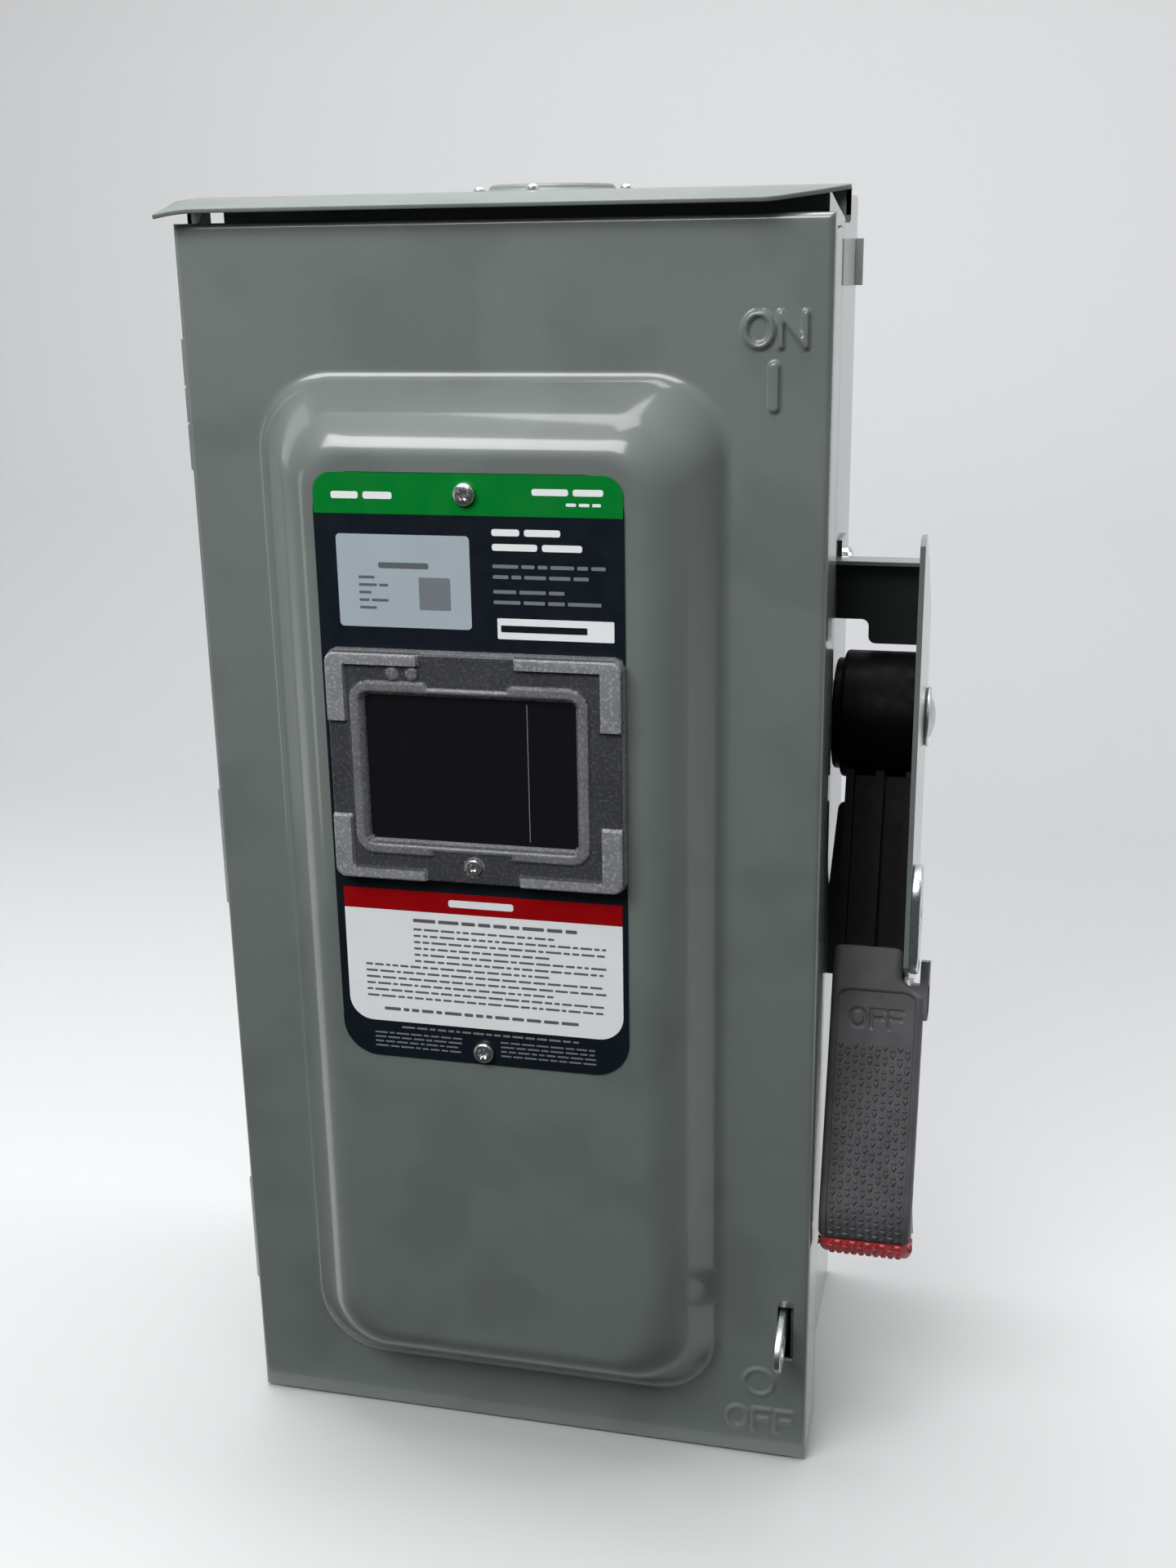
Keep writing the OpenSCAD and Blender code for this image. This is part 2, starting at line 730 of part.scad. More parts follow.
module shield_screws() color(zinc) at_shield_screws() translate([0, shield_y, 0])
    screw_front(shield_screw_r, 20, 3.2, 2);

module at_mechanism_screws() for (z = frame_screw_z) translate([frame_x + 18, 0, z]) children();

// Angle bracket behind the side wall: the shaft and the rotor run in its upright plate.
module mechanism_frame() color(zinc) difference() {
    union() {
        block([frame_x, frame_front, frame_z[0]], [frame_x + frame_t, -sheet, frame_z[1]]);
        block([frame_x, -sheet - frame_t, frame_z[0]], [frame_x + frame_foot, -sheet, frame_z[1]]);
    }
    at_pivot() rod_x(journal_r + run, frame_x - over, frame_x + over);
    at_rotor_axis() rod_x(crank_pin_r + run, frame_x - over, frame_x + over);
    at_mechanism_screws() rod_y(base_screw_r + hole_play, -2*over, 1);
}

module mechanism_screws() color(zinc) at_mechanism_screws()
    translate([0, -sheet - frame_t, 0]) screw_front(base_screw_r, 3, 4, 2.6);

module at_ground_screw() translate([ground_x, 0, ground_z + ground_h - 10]) children();
module at_ground_wire() translate([ground_x, ground_wire_y, ground_z]) children();

// A flat foot with a clamp block on its lower end.
module ground_lug() color(lug_grey) difference() {
    union() {
        block([ground_x - ground_w/2, -sheet - 2, ground_z],
            [ground_x + ground_w/2, -sheet, ground_z + ground_h]);
        block([ground_x - ground_w/2, ground_front, ground_z],
            [ground_x + ground_w/2, -sheet - 1.9, ground_z + ground_block]);
    }
    at_ground_wire() translate([0, 0, -1]) cylinder(r = ground_wire_r, h = 20);
    at_ground_wire() translate([0, 0, ground_block/2]) rod_y(base_screw_r + tight, -14, 0);
    at_ground_screw() rod_y(ground_screw_r + hole_play, -over, over);
}

module ground_lug_screws() color([0.20, 0.52, 0.25]) {
    at_ground_screw() translate([0, -sheet - 2, 0]) screw_front(ground_screw_r, 3, 5, 3.2);
    at_ground_wire() translate([0, 0, ground_block/2]) difference() {
        rod_y(base_screw_r, -11, -ground_wire_r - 0.3);
        rod_y(base_screw_r - 0.9, -12, -9);
    }
}

// ---- rotor ---------------------------------------------------------------------------------

module blade_outline() {
    circle(blade_root_r);
    translate([-blade_w/2, 0]) square([blade_w, blade_l - blade_w/2]);
    translate([0, blade_l - blade_w/2]) circle(blade_w/2);
}

module switch_blades() color(copper) at_rotor() for (x = poles)
    side_plate(x - blade_t/2, x + blade_t/2) difference() {
        blade_outline();
        circle(blade_pin_r + tight);
    }

module blade_pivots() color(zinc) at_rotor() for (x = poles)
    rod_x(blade_pin_r, x - clip_gap/2 - clip_t - 1.5, x + clip_gap/2 + clip_t + 1.5);

// Insulating bar across the three blades, slotted so that it straddles them.
module rotor_crossbar() color([0.52, 0.16, 0.12]) at_rotor() difference() {
    translate([0, -bar_fwd, bar_at]) side_plate(poles[0] - 9, crank_x) round_rect(bar_w, bar_l, 2);
    for (x = poles) block([x - blade_t/2 - tight, -blade_w/2 - tight, bar_at - 20],
        [x + blade_t/2 + tight, 20, bar_at + 20]);
}

module rotor_crank() color(zinc) at_rotor() {
    side_plate(crank_x, crank_x + crank_t) {
        circle(crank_w/2 + 1);
        translate([-crank_w/2, 0]) square([crank_w, bar_at]);
        translate([-bar_fwd - 2, bar_at - bar_l/2]) square([bar_fwd + 2 + crank_w/2, bar_l]);
    }
    rod_x(crank_pin_r, crank_x + crank_t - 0.1, frame_x + frame_t + 2);
}

// ---- interlock -----------------------------------------------------------------------------

// Pin riveted in the side wall, with a collar on each side of the lever.
module interlock_pin() color(zinc) at_interlock() {
    rod_x(lock_pin_r, lever_x - 2, wall_x);
    rod_x(lock_pin_r + 3, lever_x + lever_t + 0.4, wall_x - sheet);
    rod_x(lock_pin_r + 2, lever_x - 3.2, lever_x - 0.4);
}

// Hook-ended lever: it drops behind the door's catch as the handle goes to ON.
module interlock_lever() color(zinc) at_interlock()
    side_plate(lever_x, lever_x + lever_t) rotate(-lever_droop) difference() {
        union() {
            circle(8);
            translate([-lever_l, -5]) square([lever_l, 10]);
            translate([-lever_l, -16]) square([7, 12]);
        }
        circle(lock_pin_r + run);
    }

// A bent tab inside the door that the lever hooks when the switch is on.
module interlock_catch() color(zinc) {
    inner_y = front_y + sheet;
    block([catch_x, inner_y, catch_foot_z[0]], [catch_x + catch_w, inner_y + catch_t, catch_foot_z[1]]);
    for (x = [catch_x, catch_x + catch_w - catch_t])
        block([x, inner_y + catch_t - 0.1, catch_z[0]], [x + catch_t, catch_y, catch_z[1]]);
    block([catch_x, catch_y - catch_t, catch_z[0]], [catch_x + catch_w, catch_y, catch_z[1]]);
}

// ---- latch ---------------------------------------------------------------------------------

module latch_bracket() color(zinc) difference() {
    union() {
        block([tab_x - 8, latch_y - 8, latch_z - 9], [tab_x - 8 + latch_sheet, latch_y + 9, latch_z + 9]);
        block([tab_x - 8, latch_y + 9 - latch_sheet, latch_z - 9],
            [wall_x - sheet, latch_y + 9, latch_z + 9]);
    }
    translate([0, latch_y, latch_z]) rod_x(latch_pin_r + tight, 0, wall_x);
}

module latch_pin() color(lug_grey) translate([0, latch_y, latch_z])
    rod_x(latch_pin_r, tab_x - 10, wall_x - sheet);

module latch_spring() color(spring_grey) translate([0, latch_y, latch_z])
    translate([tab_x - 4.6, 0, 0]) spring_turns(2, 1.6, 3.6, 0.7);

// Flat hasp: it pivots behind the door and its padlock end stands out through the slot.
module latch_tab() color(zinc) side_plate(tab_x - tab_t/2, tab_x + tab_t/2) difference() {
    union() {
        translate([latch_y, latch_z]) circle(tab_root_r);
        polygon([[latch_y, latch_z + tab_root_r - 0.1], [front_y - 2, slot_z + 9.5],
            [front_y - tab_out + 4, slot_z + 7.5], [front_y - tab_out, slot_z + 2.1],
            [front_y - tab_out, slot_z - 2.9], [front_y - tab_out + 3, slot_z - 6.9],
            [front_y - 6, slot_z - 7.4], [front_y - 1, slot_z - 5.4],
            [latch_y, latch_z - tab_root_r + 0.1]]);
    }
    translate([latch_y, latch_z]) circle(latch_pin_r + run);
    translate([front_y - 9.8, slot_z + 0.1]) circle(padlock_r);
}

// ---- door ----------------------------------------------------------------------------------

// The embossed panel as a solid: inset is 0 for its outside or the sheet for its inside, and
// root_y is where its base ends.
module panel_body(inset, root_y) hull() {
    front_plate(panel_x, panel_z, panel_w - 2*inset, panel_h - 2*inset, panel_r,
        front_y + 0.5, root_y, $fn = 48);
    front_plate(panel_x, panel_z, panel_w - 2*panel_slope - 2*inset,
        panel_h - 2*panel_slope - 2*inset, panel_r - 8, panel_y + inset, panel_y + inset + 0.1, $fn = 48);
}

module window_hole(grow, y0, y1) front_plate(win_x, win_z, pane_w + grow, pane_h + grow, 3, y0, y1);

module at_label_screws() for (z = label_screw_z) translate([label_x, 0, z]) children();
module at_window_screw() translate([label_x, 0, window_screw_z]) children();

module door_panel() color(paint) difference() {
    union() {
        block([-door_x, front_y, door_bottom], [door_x, front_y + sheet, door_top]);
        block([door_x - sheet, front_y, door_bottom], [door_x, front_y + door_flange, door_top - relief]);
        block([-door_x, front_y, door_bottom], [-door_x + sheet, front_y + short_flange, door_top - relief]);
        block([-door_x + relief, front_y, door_top - sheet],
            [door_x - relief, front_y + door_flange, door_top]);
        block([-door_x, front_y, door_bottom], [door_x, front_y + hem, door_bottom + sheet]);
        panel_body(0, front_y + 1);
        for (z = hinge_at) translate([0, 0, z - door_knuckle/2]) {
            translate([hinge_x, hinge_y, 0]) cylinder(r = hinge_r, h = door_knuckle);
            block([hinge_x + 1.8, hinge_y - 4.2, 0], [hinge_x + 3.6, hinge_y, door_knuckle]);
        }
    }
    panel_body(sheet, front_y + sheet + 1);
    block([slot_x - slot_w/2, front_y - 1, slot_z - slot_h/2],
        [slot_x + slot_w/2, front_y + 2*sheet, slot_z + slot_h/2]);
    window_hole(opening_rim, panel_y - over, panel_y + over);
    at_label_screws() rod_y(label_screw_r + hole_play, panel_y - over, panel_y + over);
    at_window_screw() rod_y(window_screw_r + 2*hole_play, panel_y - over, panel_y + over);
    for (z = hinge_at) translate([hinge_x, hinge_y, z - door_knuckle])
        cylinder(r = hinge_pin_r + run, h = 2*door_knuckle);
}

module label_plate() color([0.10, 0.13, 0.16]) difference() {
    front_plate(label_x, label_z, label_w, label_h, label_r, label_y, panel_y);
    window_hole(opening_rim, label_y - 1, panel_y + 1);
    at_label_screws() rod_y(label_screw_r + hole_play, label_y - 1, panel_y + 1);
    at_window_screw() rod_y(window_screw_r + 2*hole_play, label_y - 1, panel_y + 1);
}

module label_screws() color(zinc) at_label_screws()
    translate([0, label_y, 0]) screw_front(label_screw_r, 6, 3.7, 2.4);

module window_bezel() color([0.55, 0.56, 0.58, 0.8]) difference() {
    front_plate(bezel_x, bezel_z, bezel_w, bezel_h, bezel_r, bezel_y, label_y);
    window_hole(0, bezel_y - 1, label_y + 1);
    window_hole(pane_rim + 0.4, label_y - pane_t - 0.1, label_y + 1);
    at_window_screw() rod_y(window_screw_r + 2*hole_play, bezel_y - 1, label_y + 1);
    at_window_screw() rod_y(3.4, bezel_y - 1, bezel_y + window_sink);
}

module window_pane() color([0.05, 0.05, 0.06, 0.9]) window_hole(pane_rim, label_y - pane_t, label_y);

// Seal behind the pane, in the opening of the label and of the panel.
module window_gasket() color(black) difference() {
    window_hole(opening_rim - 0.2, label_y, panel_y + 2);
    window_hole(-3, label_y - 1, panel_y + 3);
}

module window_screw() color(zinc) at_window_screw()
    translate([0, bezel_y + window_sink, 0]) screw_front(window_screw_r, 10, 2.9, 1.8);

// ---- drawn nodes ---------------------------------------------------------------------------

enclosure_box();
drip_hood();
hub_gasket();
hub_closing_plate();
closing_plate_screws();
side_clip();
hinge_leaves();
hinge_pins();
handle_bracket();
bracket_screws();
pivot_rivet();
lock_plate();
shaft_bushing();
latch_bracket();
latch_pin();
latch_spring();
knockout_slugs();
switch_base();
base_screws();
line_lugs();
line_lug_screws();
line_jaws();
load_lugs();
load_lug_screws();
load_hinge_clips();
arc_grids();
line_shield();
shield_screws();
mechanism_frame();
mechanism_screws();
ground_lug();
ground_lug_screws();
interlock_pin();
door_panel();
label_plate();
label_screws();
window_bezel();
window_pane();
window_gasket();
window_screw();
interlock_catch();
handle_hub();
handle_grip();
handle_tip();
drive_shaft();
drive_lever();
drive_spring();
rotor_crossbar();
switch_blades();
blade_pivots();
rotor_crank();
interlock_lever();
latch_tab();
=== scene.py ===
"""Looks of a side-operated AC disconnect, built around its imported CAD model.

Shapes are drawn in millimetres, in the model's own frame: +X is the handle side, -Y the door,
+Z up. new_object() turns them into metres.
"""

import json
import math
import random

import bmesh
import bpy
import numpy as np
from mathutils import Matrix, Vector


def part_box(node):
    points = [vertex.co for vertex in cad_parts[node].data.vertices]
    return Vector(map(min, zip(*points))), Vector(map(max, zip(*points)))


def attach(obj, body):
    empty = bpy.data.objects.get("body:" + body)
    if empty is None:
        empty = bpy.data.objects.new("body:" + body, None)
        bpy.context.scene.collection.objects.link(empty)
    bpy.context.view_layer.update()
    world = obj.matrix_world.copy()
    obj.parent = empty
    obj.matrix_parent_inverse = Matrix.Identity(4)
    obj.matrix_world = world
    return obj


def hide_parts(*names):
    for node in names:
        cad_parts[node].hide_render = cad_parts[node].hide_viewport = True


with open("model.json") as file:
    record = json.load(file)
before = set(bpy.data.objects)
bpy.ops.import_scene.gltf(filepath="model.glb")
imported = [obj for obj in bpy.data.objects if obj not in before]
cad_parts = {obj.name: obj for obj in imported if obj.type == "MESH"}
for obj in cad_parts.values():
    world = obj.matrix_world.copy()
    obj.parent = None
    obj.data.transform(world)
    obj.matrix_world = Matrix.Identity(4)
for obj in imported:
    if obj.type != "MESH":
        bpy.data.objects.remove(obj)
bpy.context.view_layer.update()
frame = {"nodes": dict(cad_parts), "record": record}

MM = 0.001
SHEET = 1.5

# An outline is drawn flat and raised along Z. FRONT turns (x, z) outlines so that they rise
# towards -Y, and SIDEWAYS turns (y, z) outlines so that they rise along X.
FRONT = Matrix(((1, 0, 0, 0), (0, 0, -1, 0), (0, 1, 0, 0), (0, 0, 0, 1)))
SIDEWAYS = Matrix(((0, 0, 1, 0), (1, 0, 0, 0), (0, 1, 0, 0), (0, 0, 0, 1)))


def cad(node):
    """Lowest and highest corner of a CAD node, in millimetres."""
    low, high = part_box(node)
    return low / MM, high / MM


def front_view(node):
    """Centre and size of a CAD node as (x, z), seen from the front."""
    low, high = cad(node)
    return ((low.x + high.x) / 2, (low.z + high.z) / 2), (high.x - low.x, high.z - low.z)


def joint_place(name):
    """A joint's point, in millimetres."""
    for joint in frame["record"]["behaviour"]["joints"]:
        if joint["name"] == name:
            return Vector(joint["pos_m"]) / MM
    raise KeyError(name)


# ---- materials ----


def having(thing, **settings):
    """thing, with some of its attributes set."""
    for key, value in settings.items():
        setattr(thing, key, value)
    return thing


def map_range(tree, value, low, high, start, end):
    """value, stretched from start..end to low..high."""
    made = tree.nodes.new("ShaderNodeMapRange")
    for key, number in (("From Min", start), ("From Max", end), ("To Min", low), ("To Max", high)):
        made.inputs[key].default_value = number
    tree.links.new(value, made.inputs["Value"])
    return made.outputs["Result"]


class Shader:
    """A Principled material, with helpers for the procedural detail that feeds it.

    Sizes and heights of the detail are in millimetres.
    """

    def __init__(self, name, colour, roughness, **sockets):
        self.material = bpy.data.materials.new(name)
        self.material.use_nodes = True
        self.tree = self.material.node_tree
        self.bsdf = self.tree.nodes["Principled BSDF"]
        self.bsdf.inputs["Base Color"].default_value = (*colour, 1)
        self.bsdf.inputs["Roughness"].default_value = roughness
        for socket, value in sockets.items():
            self.bsdf.inputs[socket.replace("_", " ")].default_value = value
        self.coordinates = self.node("ShaderNodeTexCoord").outputs["Object"]
        self.height = None

    def node(self, kind, **settings):
        return having(self.tree.nodes.new(kind), **settings)

    def link(self, a, b):
        self.tree.links.new(a, b)

    def texture(self, kind, size, coordinates):
        """A texture node with features of a size."""
        made = self.node(kind)
        made.inputs["Scale"].default_value = 1 / (size * MM)
        self.link(coordinates, made.inputs["Vector"])
        return made

    def noise(self, size, detail, stretch=(1, 1, 1)):
        """A noise from 0 to 1."""
        mapping = self.node("ShaderNodeMapping")
        mapping.inputs["Scale"].default_value = stretch
        self.link(self.coordinates, mapping.inputs["Vector"])
        made = self.texture("ShaderNodeTexNoise", size, mapping.outputs["Vector"])
        made.inputs["Detail"].default_value = detail
        return made.outputs["Fac"]

    def cells(self, size):
        """Distance to the nearest cell centre."""
        return self.texture("ShaderNodeTexVoronoi", size, self.coordinates).outputs["Distance"]

    def tint(self, mask, colour):
        """Mixes another colour into the base colour where mask is 1."""
        mix = self.node("ShaderNodeMix", data_type="RGBA")
        target = self.bsdf.inputs["Base Color"]
        if target.is_linked:
            self.link(target.links[0].from_socket, mix.inputs["A"])
        else:
            mix.inputs["A"].default_value = target.default_value
        mix.inputs["B"].default_value = (*colour, 1)
        self.link(mask, mix.inputs["Factor"])
        self.link(mix.outputs["Result"], target)

    def patches(self, size, detail, amount, colour, start=0.35, end=0.65, stretch=(1, 1, 1)):
        """Mixes up to amount of a colour in where a noise goes from start to end."""
        noise = self.noise(size, detail, stretch)
        self.tint(map_range(self.tree, noise, 0.0, amount, start, end), colour)

    def wear(self, size, detail, low, high, start=0.35, end=0.65, stretch=(1, 1, 1)):
        """Lets the roughness wander between low and high."""
        noise = self.noise(size, detail, stretch)
        self.link(map_range(self.tree, noise, low, high, start, end), self.bsdf.inputs["Roughness"])

    def bump(self, value, height):
        """Raises the surface where value is 1, on top of earlier bumps."""
        made = self.node("ShaderNodeBump")
        made.inputs["Strength"].default_value = 1.0
        made.inputs["Distance"].default_value = height * MM
        self.link(value, made.inputs["Height"])
        if self.height is not None:
            self.link(self.height, made.inputs["Normal"])
        self.height = made.outputs["Normal"]
        self.link(self.height, self.bsdf.inputs["Normal"])

    def grain(self, size, detail, height, stretch=(1, 1, 1)):
        self.bump(self.noise(size, detail, stretch), height)


def shade(colour, factor):
    return tuple(min(1.0, c * factor) for c in colour)


def enamel(name, colour, roughness=0.42, coat=1.0):
    """Powder-coated sheet: fine orange peel under gloss, with faint clouds and handling smudges."""
    paint = Shader(name, colour, roughness, Coat_Weight=coat, Coat_Roughness=0.12, IOR=1.5)
    paint.patches(46, 2, 0.6, shade(colour, 0.80), 0.50, 0.60)
    paint.patches(0.35, 1, 0.25, shade(colour, 1.25), 0.5, 0.8)
    paint.wear(60, 4, roughness - 0.05, roughness + 0.08, 0.3, 0.7)
    paint.grain(1.6, 1.5, 0.010)
    paint.grain(0.22, 1, 0.0018)
    return paint.material


def plated(name, colour, roughness, grain=(1, 1, 14), tone=(0.86, 0.93, 1.0)):
    """Plated metal: fine drawing lines along one axis and a slightly uneven passivation tint."""
    metal = Shader(name, colour, roughness, Metallic=1.0)
    metal.patches(5.0, 3, 0.7, [c * t for c, t in zip(colour, tone)])
    metal.patches(0.8, 2, 0.35, shade(colour, 0.6), 0.5, 0.75)
    metal.wear(1.2, 3, roughness - 0.08, roughness + 0.14, stretch=grain)
    metal.grain(0.5, 2, 0.004, grain)
    return metal.material


def moulded(name, colour, roughness, grain=0.45, depth=0.012, gloss=0.5):
    """Moulded plastic with a spark-eroded texture, paler where it is rubbed."""
    plastic = Shader(name, colour, roughness, IOR=1.47, Specular_IOR_Level=gloss)
    plastic.patches(9.0, 4, 0.5, shade(colour, 1.5))
    plastic.wear(4.0, 3, roughness - 0.07, roughness + 0.07)
    plastic.grain(grain, 2, depth)
    plastic.bump(plastic.cells(grain * 0.6), depth * 0.4)
    return plastic.material


def printed(name, colour, roughness=0.3):
    """Ink on a satin plastic film."""
    ink = Shader(name, colour, roughness, Specular_IOR_Level=0.3)
    ink.patches(14.0, 3, 0.3, shade(colour, 0.88))
    ink.wear(7.0, 3, roughness - 0.05, roughness + 0.09)
    ink.grain(0.3, 1, 0.0015)
    return ink.material


def frosted(name, colour, sparkle, depth):
    """Polycarbonate with an eroded surface: sparkling grains over a smoky body."""
    clear = Shader(name, colour, 0.32, Transmission_Weight=0.6, IOR=1.45)
    clear.patches(12.0, 2, 0.6, shade(colour, 0.7))
    clear.patches(0.9, 3, 1.0, sparkle, 0.52, 0.66)
    clear.wear(0.8, 2, 0.2, 0.45)
    clear.grain(0.9, 3, depth)
    return clear.material


def clear_sheet():
    """Thin clear shield, slightly smoky, with fine scratches."""
    clear = Shader("clear_shield", (0.80, 0.84, 0.86), 0.06, Transmission_Weight=0.95, IOR=1.2)
    clear.wear(2.0, 4, 0.03, 0.16, stretch=(1, 1, 8))
    clear.grain(18.0, 1, 0.02)
    return clear.material


def window_film():
    """Black glossy film with hair scratches."""
    film = Shader("window_film", (0.006, 0.006, 0.008), 0.09, Coat_Weight=0.5, Coat_Roughness=0.05)
    film.patches(1.4, 5, 0.3, (0.04, 0.045, 0.055), 0.64, 0.8, stretch=(9, 1, 1))
    film.wear(5.0, 5, 0.05, 0.2)
    return film.material


def copper_bar():
    """Bare copper: brushed, with warm oxide clouds."""
    copper = Shader("bare_copper", (0.83, 0.46, 0.30), 0.32, Metallic=1.0)
    copper.patches(8.0, 4, 0.8, (0.56, 0.27, 0.16))
    copper.wear(1.0, 3, 0.24, 0.46, stretch=(1, 1, 10))
    copper.grain(0.4, 2, 0.004, (1, 1, 12))
    return copper.material


def studio_paper():
    """Matt white paper of the sweep, with painted shade on the floor behind and at the foot of the back
    wall: a little darker far behind and low down; places in metres.
    """
    paper = Shader("paper", (0.58, 0.585, 0.59), 0.6)
    place = paper.node("ShaderNodeSeparateXYZ")
    paper.link(paper.coordinates, place.inputs["Vector"])
    # Painted shade: darker far behind the object and low down.
    both = paper.node("ShaderNodeMath", operation="MULTIPLY")
    paper.link(map_range(paper.tree, place.outputs["Y"], 0.0, 1.0, 0.0, 0.6), both.inputs[0])
    paper.link(map_range(paper.tree, place.outputs["Z"], 1.0, 0.0, -0.05, 0.40), both.inputs[1])
    paper.tint(both.outputs["Value"], (0.45, 0.455, 0.47))
    paper.grain(1.5, 2, 0.004)
    return paper.material


GREY_GREEN = (0.166, 0.193, 0.180)

PAINT = enamel("enamel_grey_green", GREY_GREEN)
HOOD_PAINT = enamel("enamel_hood", GREY_GREEN, roughness=0.5, coat=0.45)
# Paler than the box's paint: painted light, for the bright face the clip shows on the side wall.
CLIP_PAINT_LIT = enamel("enamel_clip_painted_light", (0.60, 0.63, 0.62), roughness=0.5, coat=0.4)
# Near-black copy of the grey-green paint: painted shade on the bracket's webs.
WEB_SHADE_PAINT = enamel("enamel_webs_painted_shade", (0.020, 0.024, 0.023), roughness=0.5, coat=0.2)
GREEN_SCREW = enamel("green_screw", (0.03, 0.24, 0.06), roughness=0.3)
ZINC = plated("zinc_plate", (0.74, 0.77, 0.77), 0.30, tone=(0.92, 0.96, 0.97))
BRIGHT = plated("bright_steel", (0.78, 0.79, 0.80), 0.22, grain=(1, 1, 1), tone=(1.0, 0.98, 0.94))
SPRING = plated("spring_steel", (0.26, 0.26, 0.28), 0.34, grain=(6, 1, 1))
GRID_STEEL = plated("grid_steel", (0.48, 0.49, 0.50), 0.42)
LUG = plated("tinned_aluminium", (0.72, 0.73, 0.74), 0.36, grain=(1, 1, 6), tone=(0.95, 0.96, 0.97))
RUBBER = moulded("rubber", (0.022, 0.022, 0.024), 0.75, grain=0.8, depth=0.02)
NYLON = moulded("nylon", (0.72, 0.70, 0.64), 0.42, grain=0.6, depth=0.006)
# Paler than the black of the arm and hub: painted light for the lit grip.
GRIP_BLACK_LIT = moulded("black_grip_painted_light", (0.085, 0.085, 0.090), 0.40)
ARM_BLACK = moulded("black_arm", (0.005, 0.005, 0.006), 0.46, gloss=0.12)
# Smooth black of the hub; also painted shade on the down-facing sides of the grip's texture.
BLACK_SMOOTH_AND_SHADE = moulded("black_plastic_smooth_and_painted_shade", (0.002, 0.002, 0.003), 0.50, 0.8, 0.004, gloss=0.1)
RED = moulded("red_plastic", (0.62, 0.038, 0.048), 0.42)
# Darker copy of the red: painted shade on the down-facing sides of the tip's texture.
RED_SHADE = moulded("red_plastic_painted_shade", (0.32, 0.018, 0.024), 0.5)
PHENOLIC = moulded("switch_moulding", (0.075, 0.070, 0.066), 0.50, grain=0.9, depth=0.02)
CROSSBAR = moulded("crossbar_moulding", (0.26, 0.045, 0.030), 0.48, grain=0.7, depth=0.016)
FROSTED = frosted("frosted_pads", (0.62, 0.64, 0.67), (0.95, 0.96, 0.98), 0.10)
SMOKY = frosted("frosted_flat", (0.13, 0.135, 0.15), (0.24, 0.245, 0.26), 0.03)
CLEAR_RIM = frosted("frosted_rim", (0.40, 0.41, 0.43), (0.62, 0.63, 0.66), 0.04)
CLEAR = clear_sheet()
FILM = window_film()
COPPER = copper_bar()
INK_FAINT = printed("ink_faint", (0.20, 0.22, 0.24))
INKS = [
    printed("ink_dark", (0.0065, 0.0110, 0.0165)),
    printed("ink_green", (0.0, 0.205, 0.026)),
    printed("ink_red", (0.34, 0.001, 0.003)),
    printed("ink_white", (0.93, 0.95, 0.97)),
    printed("ink_card", (0.42, 0.49, 0.54), roughness=0.36),
    printed("ink_grey", (0.13, 0.14, 0.15)),
    INK_FAINT,
]


# ---- mesh helpers ----


def new_object(bm, name, materials):
    """A smooth object in metres from a bmesh in millimetres, which is freed."""
    mesh = bpy.data.meshes.new(name)
    bm.to_mesh(mesh)
    bm.free()
    mesh.transform(Matrix.Scale(MM, 4))
    mesh.shade_smooth()
    for material in materials if isinstance(materials, list) else [materials]:
        mesh.materials.append(material)
    made = bpy.data.objects.new(name, mesh)
    bpy.context.collection.objects.link(made)
    return made


def add_piece(bm, name, body, materials, stands_for=(), sharp=32, recalculate=True):
    """Turns a bmesh into a piece that rides on a CAD body."""
    if recalculate:
        bmesh.ops.recalc_face_normals(bm, faces=bm.faces)
    piece = new_object(bm, name, materials)
    piece.data.set_sharp_from_angle(angle=math.radians(sharp))
    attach(piece, body)
    if stands_for:
        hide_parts(*stands_for)
    return piece


def thicken(piece, even):
    """Gives a sheet its thickness, behind its face."""
    having(piece.modifiers.new("sheet", "SOLIDIFY"), thickness=SHEET * MM, offset=-1,
           use_even_offset=even)


def break_edges(piece, width):
    having(piece.modifiers.new("edge", "BEVEL"), width=width * MM, segments=2,
           limit_method="ANGLE", angle_limit=math.radians(50))


def even_shading(piece):
    piece.modifiers.new("normals", "WEIGHTED_NORMAL").keep_sharp = True


def drop_loose(bm):
    bmesh.ops.delete(bm, geom=[v for v in bm.verts if not v.link_faces], context="VERTS")


def join(bm, part):
    """Moves every face of part into bm."""
    mesh = bpy.data.meshes.new("part")
    part.to_mesh(mesh)
    part.free()
    bm.from_mesh(mesh)
    bpy.data.meshes.remove(mesh)


def facing(direction, origin):
    """A place whose Z axis points along direction."""
    turn = Vector(direction).to_track_quat("Z", "Y").to_matrix().to_4x4()
    return Matrix.Translation(Vector(origin)) @ turn


def clamp(value):
    return min(1.0, max(0.0, value))


def smooth_step(share):
    return share * share * (3 - 2 * share)


def span(centre, size):
    """Low and high end of a size about a centre."""
    return centre - size / 2, centre + size / 2


def middle_of(points):
    return sum((Vector(p) for p in points), Vector((0, 0))) / len(points)


def edge_middle(edge):
    return (edge.verts[0].co + edge.verts[1].co) / 2


def rectangle(x, z, width, height):
    (left, right), (low, high) = span(x, width), span(z, height)
    return [(left, low), (right, low), (right, high), (left, high)]


